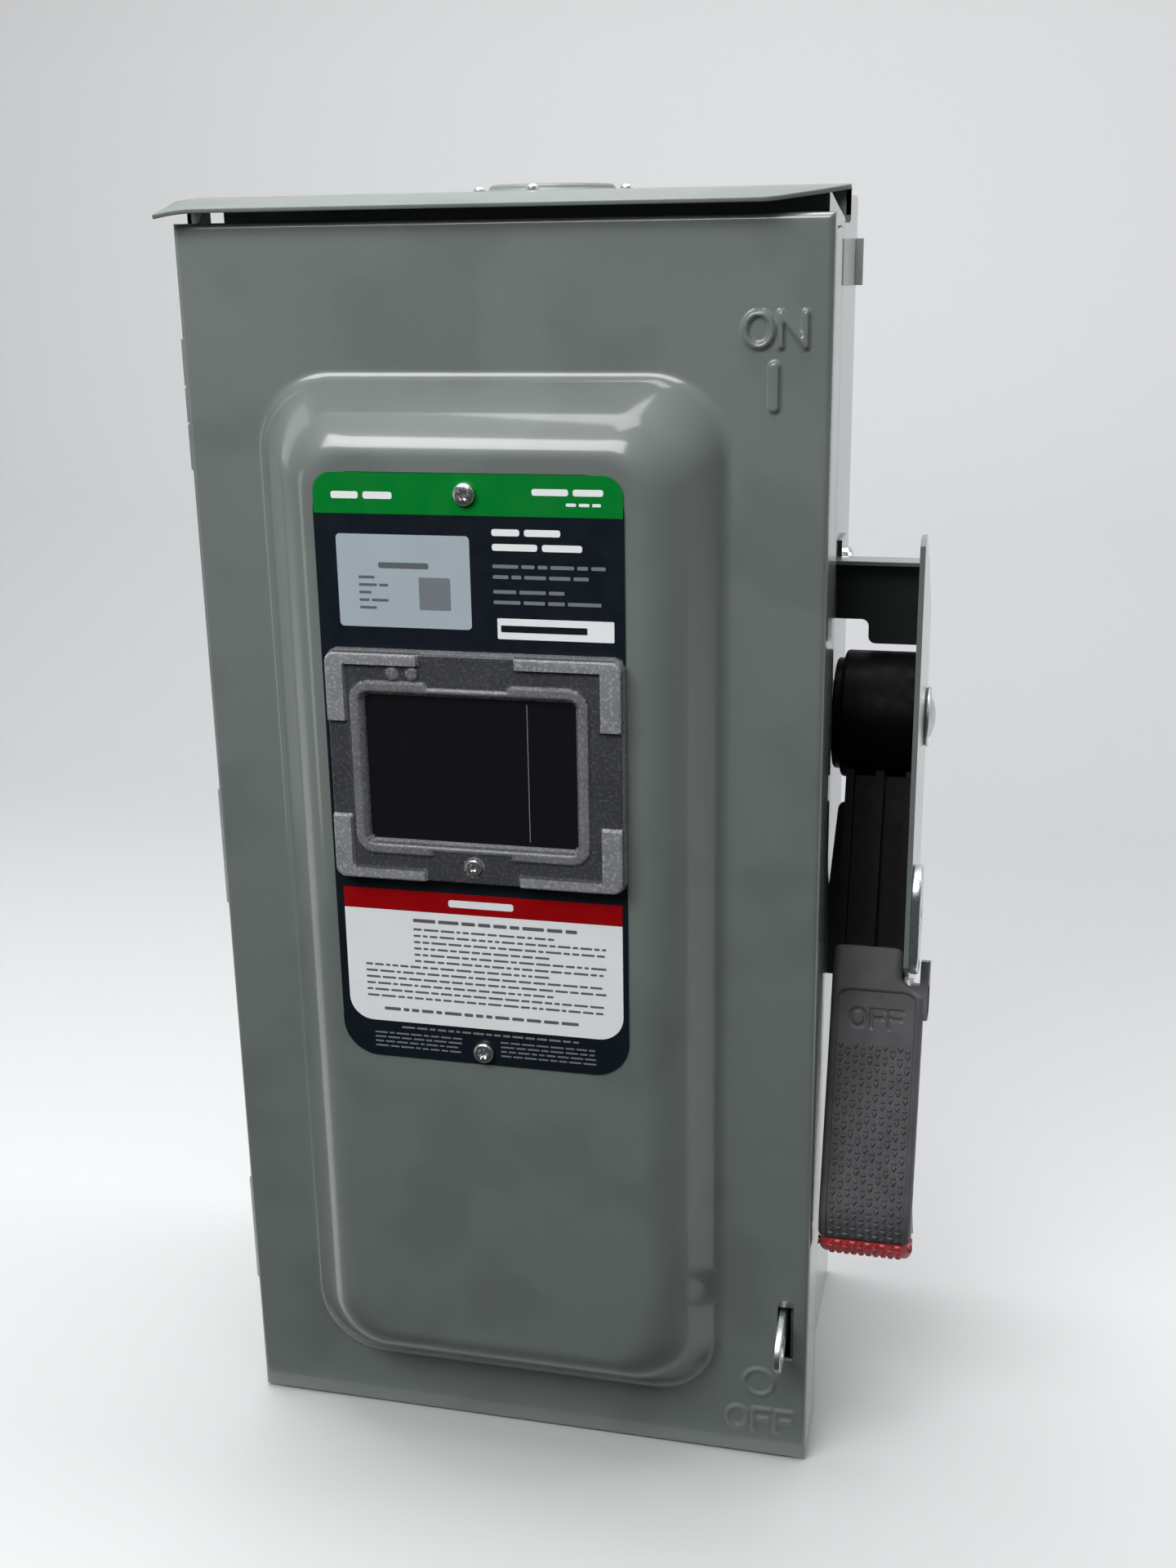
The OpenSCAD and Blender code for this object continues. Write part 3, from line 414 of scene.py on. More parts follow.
def filleted(points, radius, steps=5):
    """An outline with its corners rounded. radius is one number, or one for each corner."""
    rounded = []
    for i, point in enumerate(points):
        corner = Vector(point)
        before = Vector(points[i - 1]) - corner
        after = Vector(points[(i + 1) % len(points)]) - corner
        wanted = radius[i] if isinstance(radius, list) else radius
        half = before.angle(after) / 2
        cut = min(wanted / math.tan(half), 0.49 * before.length, 0.49 * after.length)
        if cut < 1e-3:
            rounded.append(corner)
            continue
        r = cut * math.tan(half)
        back, on = before.normalized(), after.normalized()
        centre = corner + (back + on).normalized() * (r / math.sin(half))
        start = corner + back * cut - centre
        end = corner + on * cut - centre
        angle = math.atan2(start.y, start.x)
        sweep = math.atan2(end.y, end.x) - angle
        sweep = (sweep + math.pi) % (2 * math.pi) - math.pi
        for k in range(steps + 1):
            a = angle + sweep * k / steps
            rounded.append(centre + Vector((math.cos(a), math.sin(a))) * r)
    return rounded


def prism(bm, outline, low, high, place, material=0, taper=0.0):
    """A closed prism between two heights over an outline; taper pulls the top's points inwards."""
    middle = middle_of(outline)
    bottom = [bm.verts.new(place @ Vector((p[0], p[1], low))) for p in outline]
    top = []
    for p in outline:
        inward = (middle - Vector(p)).normalized() * taper
        top.append(bm.verts.new(place @ Vector((p[0] + inward.x, p[1] + inward.y, high))))
    faces = [bm.faces.new(bottom[::-1]), bm.faces.new(top)]
    for i in range(len(outline)):
        j = (i + 1) % len(outline)
        faces.append(bm.faces.new((bottom[i], bottom[j], top[j], top[i])))
    for face in faces:
        face.material_index = material
    return faces


def soften(bm, width, segments=2, over=30, edges=None):
    """Rounds the edges that are sharper than over degrees."""
    chosen = [e for e in (edges or bm.edges)
              if len(e.link_faces) == 2 and e.calc_face_angle(0) > math.radians(over)]
    bmesh.ops.bevel(bm, geom=chosen, offset=width, segments=segments, profile=0.5,
                    affect="EDGES", clamp_overlap=True)


def skin(bm, rings):
    """Faces between each ring of vertices and the next. A ring may be one vertex."""
    for a, b in zip(rings, rings[1:]):
        count = max(len(a), len(b))
        for k in range(count):
            j = (k + 1) % count
            corners = [a[k % len(a)], a[j % len(a)], b[j % len(b)], b[k % len(b)]]
            bm.faces.new(list(dict.fromkeys(corners)))


def turned(bm, profile, place, segments=48):
    """A shape turned about the place's Z axis over (radius, height) points; returns its rings.

    A radius may also be a function of the angle.
    """
    rings = []
    for radius, height in profile:
        on_axis = not callable(radius) and radius < 1e-6
        ring = []
        for k in range(1 if on_axis else segments):
            a = 2 * math.pi * k / segments
            r = radius(a) if callable(radius) else radius
            ring.append(bm.verts.new(place @ Vector((r * math.cos(a), r * math.sin(a), height))))
        rings.append(ring)
    skin(bm, rings)
    return rings


def arc(centre, radius, start, end, steps):
    """Points along an arc of a profile or a stroke, angles in degrees."""
    points = []
    for k in range(steps + 1):
        a = math.radians(start + (end - start) * k / steps)
        points.append((centre[0] + radius * math.cos(a), centre[1] + radius * math.sin(a)))
    return points


def lobed_screw(bm, place, head_r, head_h, shank_r, shank_l):
    """A pan-head screw along the place's Z axis with a six-lobed recess and a rounded rim."""
    recess = 0.42 * head_r
    floor = 0.25 * head_h
    rim = 0.45 * head_h

    def lobes(scale):
        return lambda angle: recess * (1 + 0.16 * math.cos(6 * angle)) * scale

    profile = [(shank_r, -shank_l), (shank_r, 0), (head_r * 0.96, 0)]
    profile += arc((head_r - rim, 0.5 * head_h), rim, -20, 90, 6)
    profile += [(0.62 * head_r, head_h), (lobes(1.1), head_h), (lobes(1), head_h - 0.15),
                (lobes(1), floor), (0.5 * recess, floor - 0.1)]
    rings = turned(bm, profile, place)
    bm.faces.new(rings[0][::-1])
    bm.faces.new(rings[-1])


def stops(start, *zones):
    """Grid lines from start on through zones of (end, step), each zone's ends included."""
    lines = []
    for end, step in zones:
        count = max(1, round((end - start) / step))
        lines += [start + (end - start) * k / count for k in range(count)]
        start = end
    return lines + [start]


def midpoints(lines):
    """The middle of each gap between grid lines, numbered."""
    return list(enumerate((a + b) / 2 for a, b in zip(lines, lines[1:])))


def ramp_up(x, width):
    """max(0, x) with its corner rounded over plus or minus width."""
    return np.where(x < -width, 0.0, np.where(x > width, x, (x + width) ** 2 / (4 * width)))


def rect_distance(x, z, centre, size, radius):
    """Signed distance to a rounded rectangle, negative inside."""
    qx = np.abs(x - centre[0]) - (size[0] / 2 - radius)
    qz = np.abs(z - centre[1]) - (size[1] / 2 - radius)
    outside = np.hypot(np.maximum(qx, 0), np.maximum(qz, 0))
    return outside + np.minimum(np.maximum(qx, qz), 0) - radius


def stroke_distance(x, z, strokes):
    """Distance to the nearest of some polylines."""
    nearest = np.full(np.shape(x), 1e9)
    for line in strokes:
        for (ax, az), (bx, bz) in zip(line, line[1:]):
            dx, dz = bx - ax, bz - az
            t = np.clip(((x - ax) * dx + (z - az) * dz) / (dx * dx + dz * dz), 0, 1)
            nearest = np.minimum(nearest, np.hypot(x - ax - t * dx, z - az - t * dz))
    return nearest


# Letters as strokes in a box from (0, 0) to (their width, 1).
LETTERS = {
    "O": [[(0.86 * x, z) for x, z in arc((0.5, 0.5), 0.5, 0, 360, 24)]],
    "N": [[(0, 0), (0, 1), (0.78, 0), (0.78, 1)]],
    "F": [[(0, 0), (0, 1), (0.70, 1)], [(0, 0.53), (0.60, 0.53)]],
}


def word_strokes(word, centre, height, gap=0.26):
    """Strokes of a word in capitals, centred on a point."""
    widths = [max(x for line in LETTERS[c] for x, _ in line) for c in word]
    total = (sum(widths) + gap * (len(word) - 1)) * height
    x = centre[0] - total / 2
    strokes = []
    for letter, width in zip(word, widths):
        for line in LETTERS[letter]:
            strokes.append([(x + px * height, centre[1] + (pz - 0.5) * height) for px, pz in line])
        x += (width + gap) * height
    return strokes


# ---- door ----

label_low, label_high = cad("label_plate")
bezel_low, bezel_high = cad("window_bezel")
pane_low, pane_high = cad("window_pane")
tab_low, tab_high = cad("latch_tab")
door_low, door_high = cad("door_panel")
hinge = joint_place("door_hinge")

DOOR_LEFT, DOOR_RIGHT = -door_high.x, door_high.x
DOOR_BOTTOM, DOOR_TOP = door_low.z, door_high.z
PANEL_RISE = 21.0
DOOR_FRONT = door_low.y + PANEL_RISE
FLANGE = door_high.y - DOOR_FRONT
SHORT_FLANGE = 8.5
HEM = 2.2
RELIEF = 4.0
BEND = 1.9
BEND_LENGTH = BEND * math.pi / 2
PANEL_CENTRE = (-2.75, -14.75)
PANEL_SIZE = (156.5, 370.5)
PANEL_RADIUS = 25.0
PANEL_SLOPE = 17.0
RADIUS_DROP = 7.0
SLOT = ((tab_low.x + tab_high.x) / 2 + 0.9, -171.1)
SLOT_SIZE = (5.8, 21.8)
OPENING, GLAZING_SIZE = front_view("window_pane")
OPENING_SIZE = (82.0, 60.2)
MARK_X = 90.4
LETTER_H = 9.9
LETTER_RISE = 1.25


def slope_share(x, z):
    """How far up the panel's slope a point is, found by halving: 0 at its base, 1 at the plateau."""
    low = np.full(np.shape(x), -0.9)
    high = np.full(np.shape(x), 2.2)
    for _ in range(18):
        t = (low + high) / 2
        size = [side - 2 * PANEL_SLOPE * t for side in PANEL_SIZE]
        inside = rect_distance(x, z, PANEL_CENTRE, size, PANEL_RADIUS - RADIUS_DROP * t) < 0
        low = np.where(inside, t, low)
        high = np.where(inside, high, t)
    return (low + high) / 2


def door_height(x, z):
    """Height of the door's stamped face above its flat."""
    t = slope_share(x, z)
    height = PANEL_RISE * (ramp_up(t, 0.13) - ramp_up(t - 1, 0.42))
    foot, flank = 0.45, 0.95
    # Strokes, half their width and their rise.
    marks = [
        (word_strokes("ON", (MARK_X, 184.8), LETTER_H), 0.95, LETTER_RISE),
        ([[(MARK_X - 0.1, 161.4), (MARK_X - 0.1, 173.6)]], 1.6, LETTER_RISE),
        ([arc((MARK_X, -193.1), 5.4, 0, 360, 32)], 0.75, 0.6 * LETTER_RISE),
        (word_strokes("OFF", (MARK_X + 0.5, -209.3), 0.88 * LETTER_H), 0.9, 0.6 * LETTER_RISE),
    ]
    for strokes, half_width, rise in marks:
        share = np.clip((half_width + foot - stroke_distance(x, z, strokes)) / flank, 0, 1)
        height = height + rise * smooth_step(share)
    return height


def bent(u, low, high):
    """Where a point u along the unfolded sheet ends up: (coordinate, depth behind the face)."""
    for edge, sign in ((low, -1), (high, 1)):
        past = (u - (edge - sign * BEND)) * sign
        if past >= BEND_LENGTH:
            return edge, BEND + past - BEND_LENGTH
        if past > 0:
            a = past / BEND
            return edge - sign * BEND * (1 - math.sin(a)), BEND * (1 - math.cos(a))
    return u, 0.0


def fold_lines(low, high):
    """Where the flanges begin, along the unfolded sheet."""
    return low + BEND - BEND_LENGTH, high - BEND + BEND_LENGTH


def unfolded(low, high, low_depth, high_depth, zones):
    """Grid lines over a face and the flanges folded back at both of its ends."""
    low_fold, high_fold = fold_lines(low, high)
    first = low_fold - max(0, low_depth - BEND)
    last = high_fold + max(0, high_depth - BEND)
    return stops(first, (low_fold, 6), (low + BEND, 0.6), *zones, (high_fold, 0.6), (last, 6))


def door_skin():
    """The door's sheet: stamped face, wrapped flanges, latch slot and window opening."""
    slot_x, slot_z = map(span, SLOT, SLOT_SIZE)
    hole_x, hole_z = map(span, OPENING, OPENING_SIZE)
    us = unfolded(DOOR_LEFT, DOOR_RIGHT, SHORT_FLANGE, FLANGE, [
        (-104, 2), (-87, 3), (-52, 1.2), (hole_x[0], 2), (hole_x[1], 3), (43, 2), (77, 1.2),
        (slot_x[0], 0.6), (slot_x[1], 0.6), (DOOR_RIGHT - RELIEF, 0.7), (DOOR_RIGHT - BEND, 1)])
    vs = unfolded(DOOR_BOTTOM, DOOR_TOP, HEM, FLANGE, [
        (-217, 2), (-186, 0.6), (slot_z[0], 1), (slot_z[1], 1.3), (hole_z[0], 3), (hole_z[1], 3),
        (138, 3), (158, 1.1), (193.4, 0.6), (DOOR_TOP - RELIEF, 3), (DOOR_TOP - BEND, 1)])
    spread_x = [bent(u, DOOR_LEFT, DOOR_RIGHT) for u in us]
    spread_z = [bent(v, DOOR_BOTTOM, DOOR_TOP) for v in vs]
    grid_x, grid_z = np.meshgrid([x for x, _ in spread_x], [z for z, _ in spread_z], indexing="ij")
    height = door_height(grid_x, grid_z)

    bm = bmesh.new()
    verts = {}
    for i, (x, behind_x) in enumerate(spread_x):
        for j, (z, behind_z) in enumerate(spread_z):
            y = DOOR_FRONT + max(behind_x, behind_z) - float(height[i, j])
            verts[i, j] = bm.verts.new((x, y, z))

    def within(value, ends):
        return ends[0] < value < ends[1]

    def cut_away(u, v):
        on_side = not within(u, fold_lines(DOOR_LEFT, DOOR_RIGHT))
        on_end = not within(v, fold_lines(DOOR_BOTTOM, DOOR_TOP))
        return (on_side and not DOOR_BOTTOM + BEND <= v <= DOOR_TOP - RELIEF
                or on_end and abs(u) > DOOR_RIGHT - RELIEF
                or within(u, slot_x) and within(v, slot_z)
                or within(u, hole_x) and within(v, hole_z))

    for i, u in midpoints(us):
        for j, v in midpoints(vs):
            if not cut_away(u, v):
                bm.faces.new((verts[i, j], verts[i + 1, j], verts[i + 1, j + 1], verts[i, j + 1]))
    drop_loose(bm)
    panel = add_piece(bm, "door_skin", "door", PAINT, ("door_panel",), sharp=50,
                      recalculate=False)
    thicken(panel, even=True)


def door_knuckles():
    """Rolled knuckles on the door's edge, one to each hinge, each with a tab to the sheet."""
    leaf_low, leaf_high = cad("hinge_leaves")
    leaf_length, length = 44, 12
    bore, outer, bevel = 1.56, 3.0, 0.3
    spacing = (leaf_high.z - leaf_low.z - leaf_length) / 2
    profile = [(bore, 0), (outer - bevel, 0), (outer, bevel), (outer, length - bevel),
               (outer - bevel, length), (bore, length), (bore, 0)]
    tab = filleted(rectangle(hinge.x + 2.35, hinge.y - 2.1, 1.3, 4.4), 0.3, 2)
    bm = bmesh.new()
    for k in (-1, 0, 1):
        low, high = span(k * spacing, length)
        turned(bm, profile, Matrix.Translation((hinge.x, hinge.y, low)), segments=32)
        prism(bm, tab, low, high, Matrix.Identity(4))
    add_piece(bm, "door_knuckles", "door", PAINT)


# ---- label ----

LABEL_CENTRE, LABEL_SIZE = front_view("label_plate")
LABEL_RADIUS = 12.5
LABEL_Y = label_low.y
INK_T = 0.06
SCREW_Z = (-57.6, 136.0)


def sorted_outline(points):
    """Points of a convex outline, in order round its middle."""
    middle = middle_of(points)
    return sorted(points, key=lambda p: math.atan2(p[1] - middle.y, p[0] - middle.x))


def label():
    """Film label with its printed areas as thin layers: plain colours and bars in place of text.

    Places on the label are measured from its middle.
    """
    cx, cz = LABEL_CENTRE
    width, height = LABEL_SIZE
    bm = bmesh.new()
    hole_x, hole_z = map(span, OPENING, OPENING_SIZE)
    film = filleted(rectangle(cx, cz, width, height), LABEL_RADIUS, 12)
    halves = []
    for side, end in ((-1, hole_z[0]), (1, hole_z[1])):
        cut = [Vector((label_low.x, end)), Vector((label_high.x, end))]
        halves.append(sorted_outline([p for p in film if side * (p[1] - cz) > 0] + cut))
    strips = [rectangle((left + right) / 2, OPENING[1], right - left, OPENING_SIZE[1])
              for left, right in ((label_low.x, hole_x[0]), (hole_x[1], label_high.x))]
    for outline in halves + strips:
        prism(bm, outline, -label_high.y, -LABEL_Y, FRONT)

    dark, green, red, white, card, grey, faint = range(7)
    rng = random.Random(11)

    def area(x, z, w, h, radius, ink, layer=1, steps=6):
        outline = filleted(rectangle(cx + x, cz + z, w, h), radius, steps)
        prism(bm, outline, -LABEL_Y, -LABEL_Y + layer * INK_T, FRONT, ink)

    def words(left, right, z, h, ink, shortest, longest):
        """A line of word-like bars, which stand in for printed text."""
        x = left
        while x < right - shortest:
            length = min(rng.uniform(shortest, longest), right - x)
            area(x + length / 2, z, length, h, 0.3 * h, ink, 2, 2)
            x += length + 0.55 * h + 0.35

    # The green head is placed from the label's top edge.
    top, head_h, corner = height / 2, 13.5, LABEL_RADIUS - 0.3
    area(0, top - head_h / 2, width - 0.6, head_h - 0.3, [0.01, 0.01, corner, corner], green, steps=12)
    words(-45, -24, top - 7.4, 2.3, white, 7, 12)
    words(22, 45, top - 5.6, 2.1, white, 9, 12)
    words(33, 45, top - 9.4, 1.0, white, 2.5, 4)
    # Pale card on the left.
    area(-21.6, 67.4, 45.1, 30.4, 1.4, card)
    words(-30, -13, 72.6, 1.9, grey, 16, 18)
    for row in range(5):
        words(-37, -30 + 3 * (row % 2), 68.6 - 2.5 * row, 0.85, grey, 3, 7)
    area(-11.2, 63.6, 10.6, 10.6, 0.6, faint, 2)
    # Bars on the right.
    words(8.5, 31, 84.0, 2.2, white, 9, 12)
    words(8.5, 38, 79.3, 2.2, white, 12, 15)
    for z, end in ((73.2, 46), (69.8, 40), (65.0, 32), (61.6, 44)):
        words(8.5, end, z, 1.15, faint, 3, 12)
    area(28.8, 53.0, 38.5, 6.8, 0.4, white)
    area(25.0, 53.0, 28.5, 2.2, 0.3, dark, 2)
    # Red band over a white block.
    area(0.5, -43.2, 98.4, 7.4, 0.3, red)
    words(-11, 12, -43.2, 2.6, white, 21, 23)
    area(0.5, -68.0, 98.4, 42.0, [8.5, 8.5, 0.2, 0.2], white, steps=8)
    words(-24, 34, -50.3, 1.25, grey, 3, 9)
    for row in range(12):
        words(-24 if row < 6 else -42, 44 if row % 3 else 26, -53.6 - 2.35 * row, 0.75, grey, 1.4, 5.5)
    words(-36, 34, -84.2, 1.15, grey, 2, 7)
    # Small print on the dark foot.
    words(-30, 34, -91.0, 0.7, faint, 1.5, 5)
    for row in range(4):
        words(-40, -8, -93.6 - 1.7 * row, 0.55, faint, 1.5, 5)
        words(6, 40, -93.6 - 1.7 * row, 0.55, faint, 1.5, 5)
    add_piece(bm, "label_film", "door", INKS, ("label_plate",))


def label_screws():
    bm = bmesh.new()
    for z in SCREW_Z:
        lobed_screw(bm, facing((0, -1, 0), (LABEL_CENTRE[0], LABEL_Y, z)), 3.7, 2.3, 1.6, 5.8)
    add_piece(bm, "label_screw_pair", "door", BRIGHT, ("label_screws",), sharp=40)


# ---- window ----

BEZEL_CENTRE, BEZEL_SIZE = front_view("window_bezel")
BEZEL_RADIUS = 4.0
PAD, RIM, DOT, FLAT, DIMPLE, LIP = 5.7, 5.0, 4.9, 4.3, 3.9, 2.6
PANE_SIZE = [side - 4.6 for side in GLAZING_SIZE]
PANE_RADIUS = 2.0
WINDOW_SCREW_Z = 12.3


def past_pane(x, z):
    return rect_distance(x, z, OPENING, PANE_SIZE, PANE_RADIUS)


def past_bezel(x, z):
    return rect_distance(x, z, BEZEL_CENTRE, BEZEL_SIZE, BEZEL_RADIUS)


def bezel_height(x, z):
    """Thickness of the frosted bezel: corner pads, a flat, and a rim round the opening."""
    level = FLAT
    from_left, from_top = x - bezel_low.x, bezel_high.z - z
    from_right, from_bottom = bezel_high.x - x, z - bezel_low.z
    near_side = min(from_left, from_right) < 7.4 and (from_top < 24 or from_bottom < 23)
    near_end = min(from_top, from_bottom) < 4.6 and (from_left < 33 or from_right < 36)
    if near_side or near_end:
        level = PAD
    rim = past_pane(x, z)
    if rim < (3.0 if abs(x - OPENING[0]) < 14 else 4.6):
        level = RIM
    if rim < 1.6:
        level = LIP + 1.5 * max(0.0, rim)
    if min(math.hypot(from_left - dot, from_top - 7.3) for dot in (23.6, 30.5)) < 2.1:
        level = DOT
    if math.hypot(x - LABEL_CENTRE[0], z - WINDOW_SCREW_Z) < 3.6:
        level = DIMPLE
    edge = clamp(-past_bezel(x, z) / 1.1)
    return level * math.sqrt(1 - (1 - edge) ** 2)


def bezel():
    """Frosted frame over the window, as a closed solid over a fine grid."""
    base = bezel_high.y
    rounding = 1.2
    xs, zs = (
        stops(low, (low + rounding, 0.3), (centre - size / 2, 0.62), (centre + size / 2, 0.8),
              (high - rounding, 0.62), (high, 0.3))
        for low, high, centre, size in (
            (bezel_low.x, bezel_high.x, OPENING[0], PANE_SIZE[0]),
            (bezel_low.z, bezel_high.z, OPENING[1], PANE_SIZE[1])))
    bm = bmesh.new()
    fronts, backs = {}, {}
    for i, x in enumerate(xs):
        for j, z in enumerate(zs):
            fronts[i, j] = bm.verts.new((x, base - max(0.6, bezel_height(x, z)), z))
            backs[i, j] = bm.verts.new((x, base, z))
    kept = {(i, j) for i, x in midpoints(xs) for j, z in midpoints(zs)
            if past_pane(x, z) > 0 > past_bezel(x, z)}
    for i, j in kept:
        loop = ((i, j), (i + 1, j), (i + 1, j + 1), (i, j + 1))
        bm.faces.new([fronts[k] for k in loop])
        bm.faces.new([backs[k] for k in reversed(loop)])
        neighbours = ((i, j - 1), (i + 1, j), (i, j + 1), (i - 1, j))
        for k, neighbour in enumerate(neighbours):
            if neighbour not in kept:
                a, b = loop[k], loop[(k + 1) % 4]
                bm.faces.new((fronts[b], fronts[a], backs[a], backs[b]))
    drop_loose(bm)
    pads, flat, rim = range(3)
    for face in bm.faces:
        middle = face.calc_center_median()
        level = bezel_height(middle.x, middle.z)
        face.material_index = rim
        if level > 5.2 or base - middle.y < 0.3:
            face.material_index = pads
        elif 4.0 < level < 4.6:
            face.material_index = flat
    add_piece(bm, "bezel_frame", "door", [FROSTED, SMOKY, CLEAR_RIM],
              ("window_bezel",), sharp=60)


def window_details():
    """Pane with a thin frame line, and the bezel's screw."""
    bm = bmesh.new()
    front = -pane_low.y
    prism(bm, filleted(rectangle(*OPENING, *GLAZING_SIZE), 3, 4), -pane_high.y, front, FRONT)
    line = rectangle(OPENING[0] + 0.27 * PANE_SIZE[0], OPENING[1], 0.28, PANE_SIZE[1] - 3)
    prism(bm, line, front - 0.02, front + 0.04, FRONT, 1)
    add_piece(bm, "window_glazing", "door", [FILM, INK_FAINT], ("window_pane",))
    bm = bmesh.new()
    seat = (LABEL_CENTRE[0], bezel_high.y - 4.0, WINDOW_SCREW_Z)
    lobed_screw(bm, facing((0, -1, 0), seat), 2.8, 1.6, 1.2, 9.8)
    add_piece(bm, "bezel_screw", "door", BRIGHT, ("window_screw",), sharp=40)


# ---- handle ----

pivot = joint_place("handle_pivot")
tip_low, tip_high = cad("handle_tip")
hub_low, hub_high = cad("handle_hub")
guard_low, guard_high = cad("handle_bracket")

LEAN = math.radians(20)
HANDLE = Matrix.Translation(pivot) @ Matrix.Rotation(-LEAN, 4, "X")
GRIP_IN, GRIP_OUT = tip_low.x, tip_high.x
GRIP_MIDDLE = (GRIP_IN + GRIP_OUT) / 2
ARM_IN, ARM_OUT = hub_high.x - 24.5, hub_high.x
GRIP_FRONT, GRIP_BACK = -13.5, 12.5
GRIP_START = 85.0
REACH = 198.0
END_R = 20.0
END_CENTRE = GRIP_FRONT + END_R
END_ANGLE = 90 + math.degrees(math.asin((GRIP_BACK - END_CENTRE) / END_R))
BEND_AT = REACH - END_R
TIP_ANGLE = 40.0
# Where the grip's body ends and the red tip begins: along the handle, and across it.
CUT = BEND_AT + END_R * math.sin(math.radians(TIP_ANGLE))
CUT_ACROSS = END_CENTRE - END_R * math.cos(math.radians(TIP_ANGLE))
CUT_GAP = 0.4
SHOULDER = (GRIP_START + 11, GRIP_START + 17)
SIDE_R = 2.6
GUARD_CLEAR = 141.2
EAR_FOOT = 138.0
EAR_OUT = GRIP_OUT + 1.3
RECESS = 0.65
RECESS_TOP = 100.5
WORD_H = 6.2
WORD_AT = 110.6


def grip_path(part):
    """Closed side outline of the grip's body or tip as (across, along) points, front first."""
    points = []
    if part == "body":
        points += [(GRIP_FRONT, a) for a in stops(GRIP_START, (99, 2), (116, 0.4), (BEND_AT, 2))]
        angles = stops(0, (TIP_ANGLE - 1, 4))[1:]
    else:
        angles = stops(TIP_ANGLE, (END_ANGLE, 5))
    for a in map(math.radians, angles):
        points.append((END_CENTRE - END_R * math.cos(a), BEND_AT + END_R * math.sin(a)))
    if part == "tip":
        end = CUT + CUT_GAP
        return points + [(GRIP_BACK, points[-1][1] - 0.8), (GRIP_BACK, end), (GRIP_BACK - 2, end),
                         (points[0][0] + 2, end)]
    points += [(across, CUT - CUT_GAP) for across in stops(points[-1][0] + 3, (GRIP_BACK - 2, 3))]
    return points + [(GRIP_BACK, CUT - 1), (GRIP_BACK, GRIP_START), (GRIP_BACK - 3, GRIP_START),
                     (GRIP_FRONT + 3, GRIP_START)]


def outer_side(along):
    """X of the grip's outer side: it widens past the guard plate below the shoulder."""
    share = clamp((along - SHOULDER[0]) / (SHOULDER[1] - SHOULDER[0]))
    return ARM_OUT + (GRIP_OUT - ARM_OUT) * (0.5 * share + 0.5 * smooth_step(share))


def grip_relief(x, along):
    """Depth of the recessed panel with its engraved word, on the grip's front."""
    bottom = REACH + 30
    centre = (GRIP_MIDDLE, -(RECESS_TOP + bottom) / 2)
    size = (GRIP_OUT - GRIP_IN - 3.2, bottom - RECESS_TOP)
    depth = RECESS * clamp(-rect_distance(x, -along, centre, size, 5.5) / 0.4)
    if abs(along - WORD_AT) < WORD_H + 0.3:
        word = word_strokes("OFF", (GRIP_MIDDLE, -WORD_AT), WORD_H, gap=0.34)
        depth += 0.5 * clamp((0.75 - stroke_distance(x, -along, word)) / 0.3)
    return depth


def grip_solid(part):
    """Grip or tip: its side outline swept across X, with rounded long edges."""
    path = grip_path(part)
    count = len(path)
    middle = middle_of(path)
    inwards = []
    for k in range(count):
        run = (Vector(path[(k + 1) % count]) - Vector(path[k - 1])).normalized()
        inwards.append(Vector((run.y, -run.x)))
    if sum(n.dot(Vector(p) - middle) for n, p in zip(inwards, path)) > 0:
        inwards = [-n for n in inwards]
    rounding = [(SIDE_R * (1 - math.sin(a)), SIDE_R * (1 - math.cos(a)))
                for a in map(math.radians, range(0, 91, 18))]
    # How far the outline is drawn in, the margin at both sides, and the share of the way across.
    stations = [(inset, margin, 0.0) for inset, margin in rounding]
    stations += [(0.0, SIDE_R, share) for share in stops(0.0, (1.0, 1 / 66))[1:-1]]
    stations += [(inset, margin, 1.0) for inset, margin in reversed(rounding)]
    bm = bmesh.new()
    rings = []
    for inset, margin, share in stations:
        ring = []
        for inward, (across, along) in zip(inwards, path):
            x = GRIP_IN + margin + (outer_side(along) - GRIP_IN - 2 * margin) * share
            depth = inset
            if part == "body" and 0 < share < 1 and across <= CUT_ACROSS:
                depth += grip_relief(x, along)
            point = Vector((across, along)) + inward * depth
            ring.append(bm.verts.new(HANDLE @ Vector((x, point.x, -point.y))))
        rings.append(ring)
    skin(bm, rings)
    bm.faces.new(rings[0])
    bm.faces.new(rings[-1][::-1])
    return bm


def grip_texture(bm, first, last, row, sunk):
    """Rows of small raised triangles, pointing down and up in turn, on the grip's front; their
    down-facing sides take material 1, a darker copy, as painted shade.
    """
    pitch, size, rise = 2.65, 2.55, 0.65
    columns = round((GRIP_OUT - GRIP_IN - 5.5) / pitch)
    x0 = GRIP_MIDDLE - (columns - 1) * pitch / 2
    s = first
    while s <= last:
        angle = max(0.0, (s - BEND_AT) / END_R)
        across = END_CENTRE - (END_R - sunk) * math.cos(angle)
        along = s if angle == 0 else BEND_AT + (END_R - sunk) * math.sin(angle)
        for column in range(columns):
            place = (HANDLE @ Matrix.Translation((x0 + column * pitch, across, -along))
                     @ Matrix.Rotation(angle, 4, "X") @ FRONT)
            sign = 1 if (row + column) % 2 else -1
            base = -sign * size * 0.4
            triangle = [(-size / 2, base), (size / 2, base), (0, sign * size * 0.5)]
            outline = filleted(triangle[::sign], 0.12, 2)
            sides = prism(bm, outline, -0.2, rise, place, 0, taper=0.6)[2:]
            # Down-facing sides take material 1, a darker copy of the grip's colour: painted shade under
            # each triangle.
            for k, side in enumerate(sides):
                run = Vector(outline[(k + 1) % len(outline)]) - Vector(outline[k])
                if run.x > 0.4 * run.length:
                    side.material_index = 1
        s += pitch
        row += 1


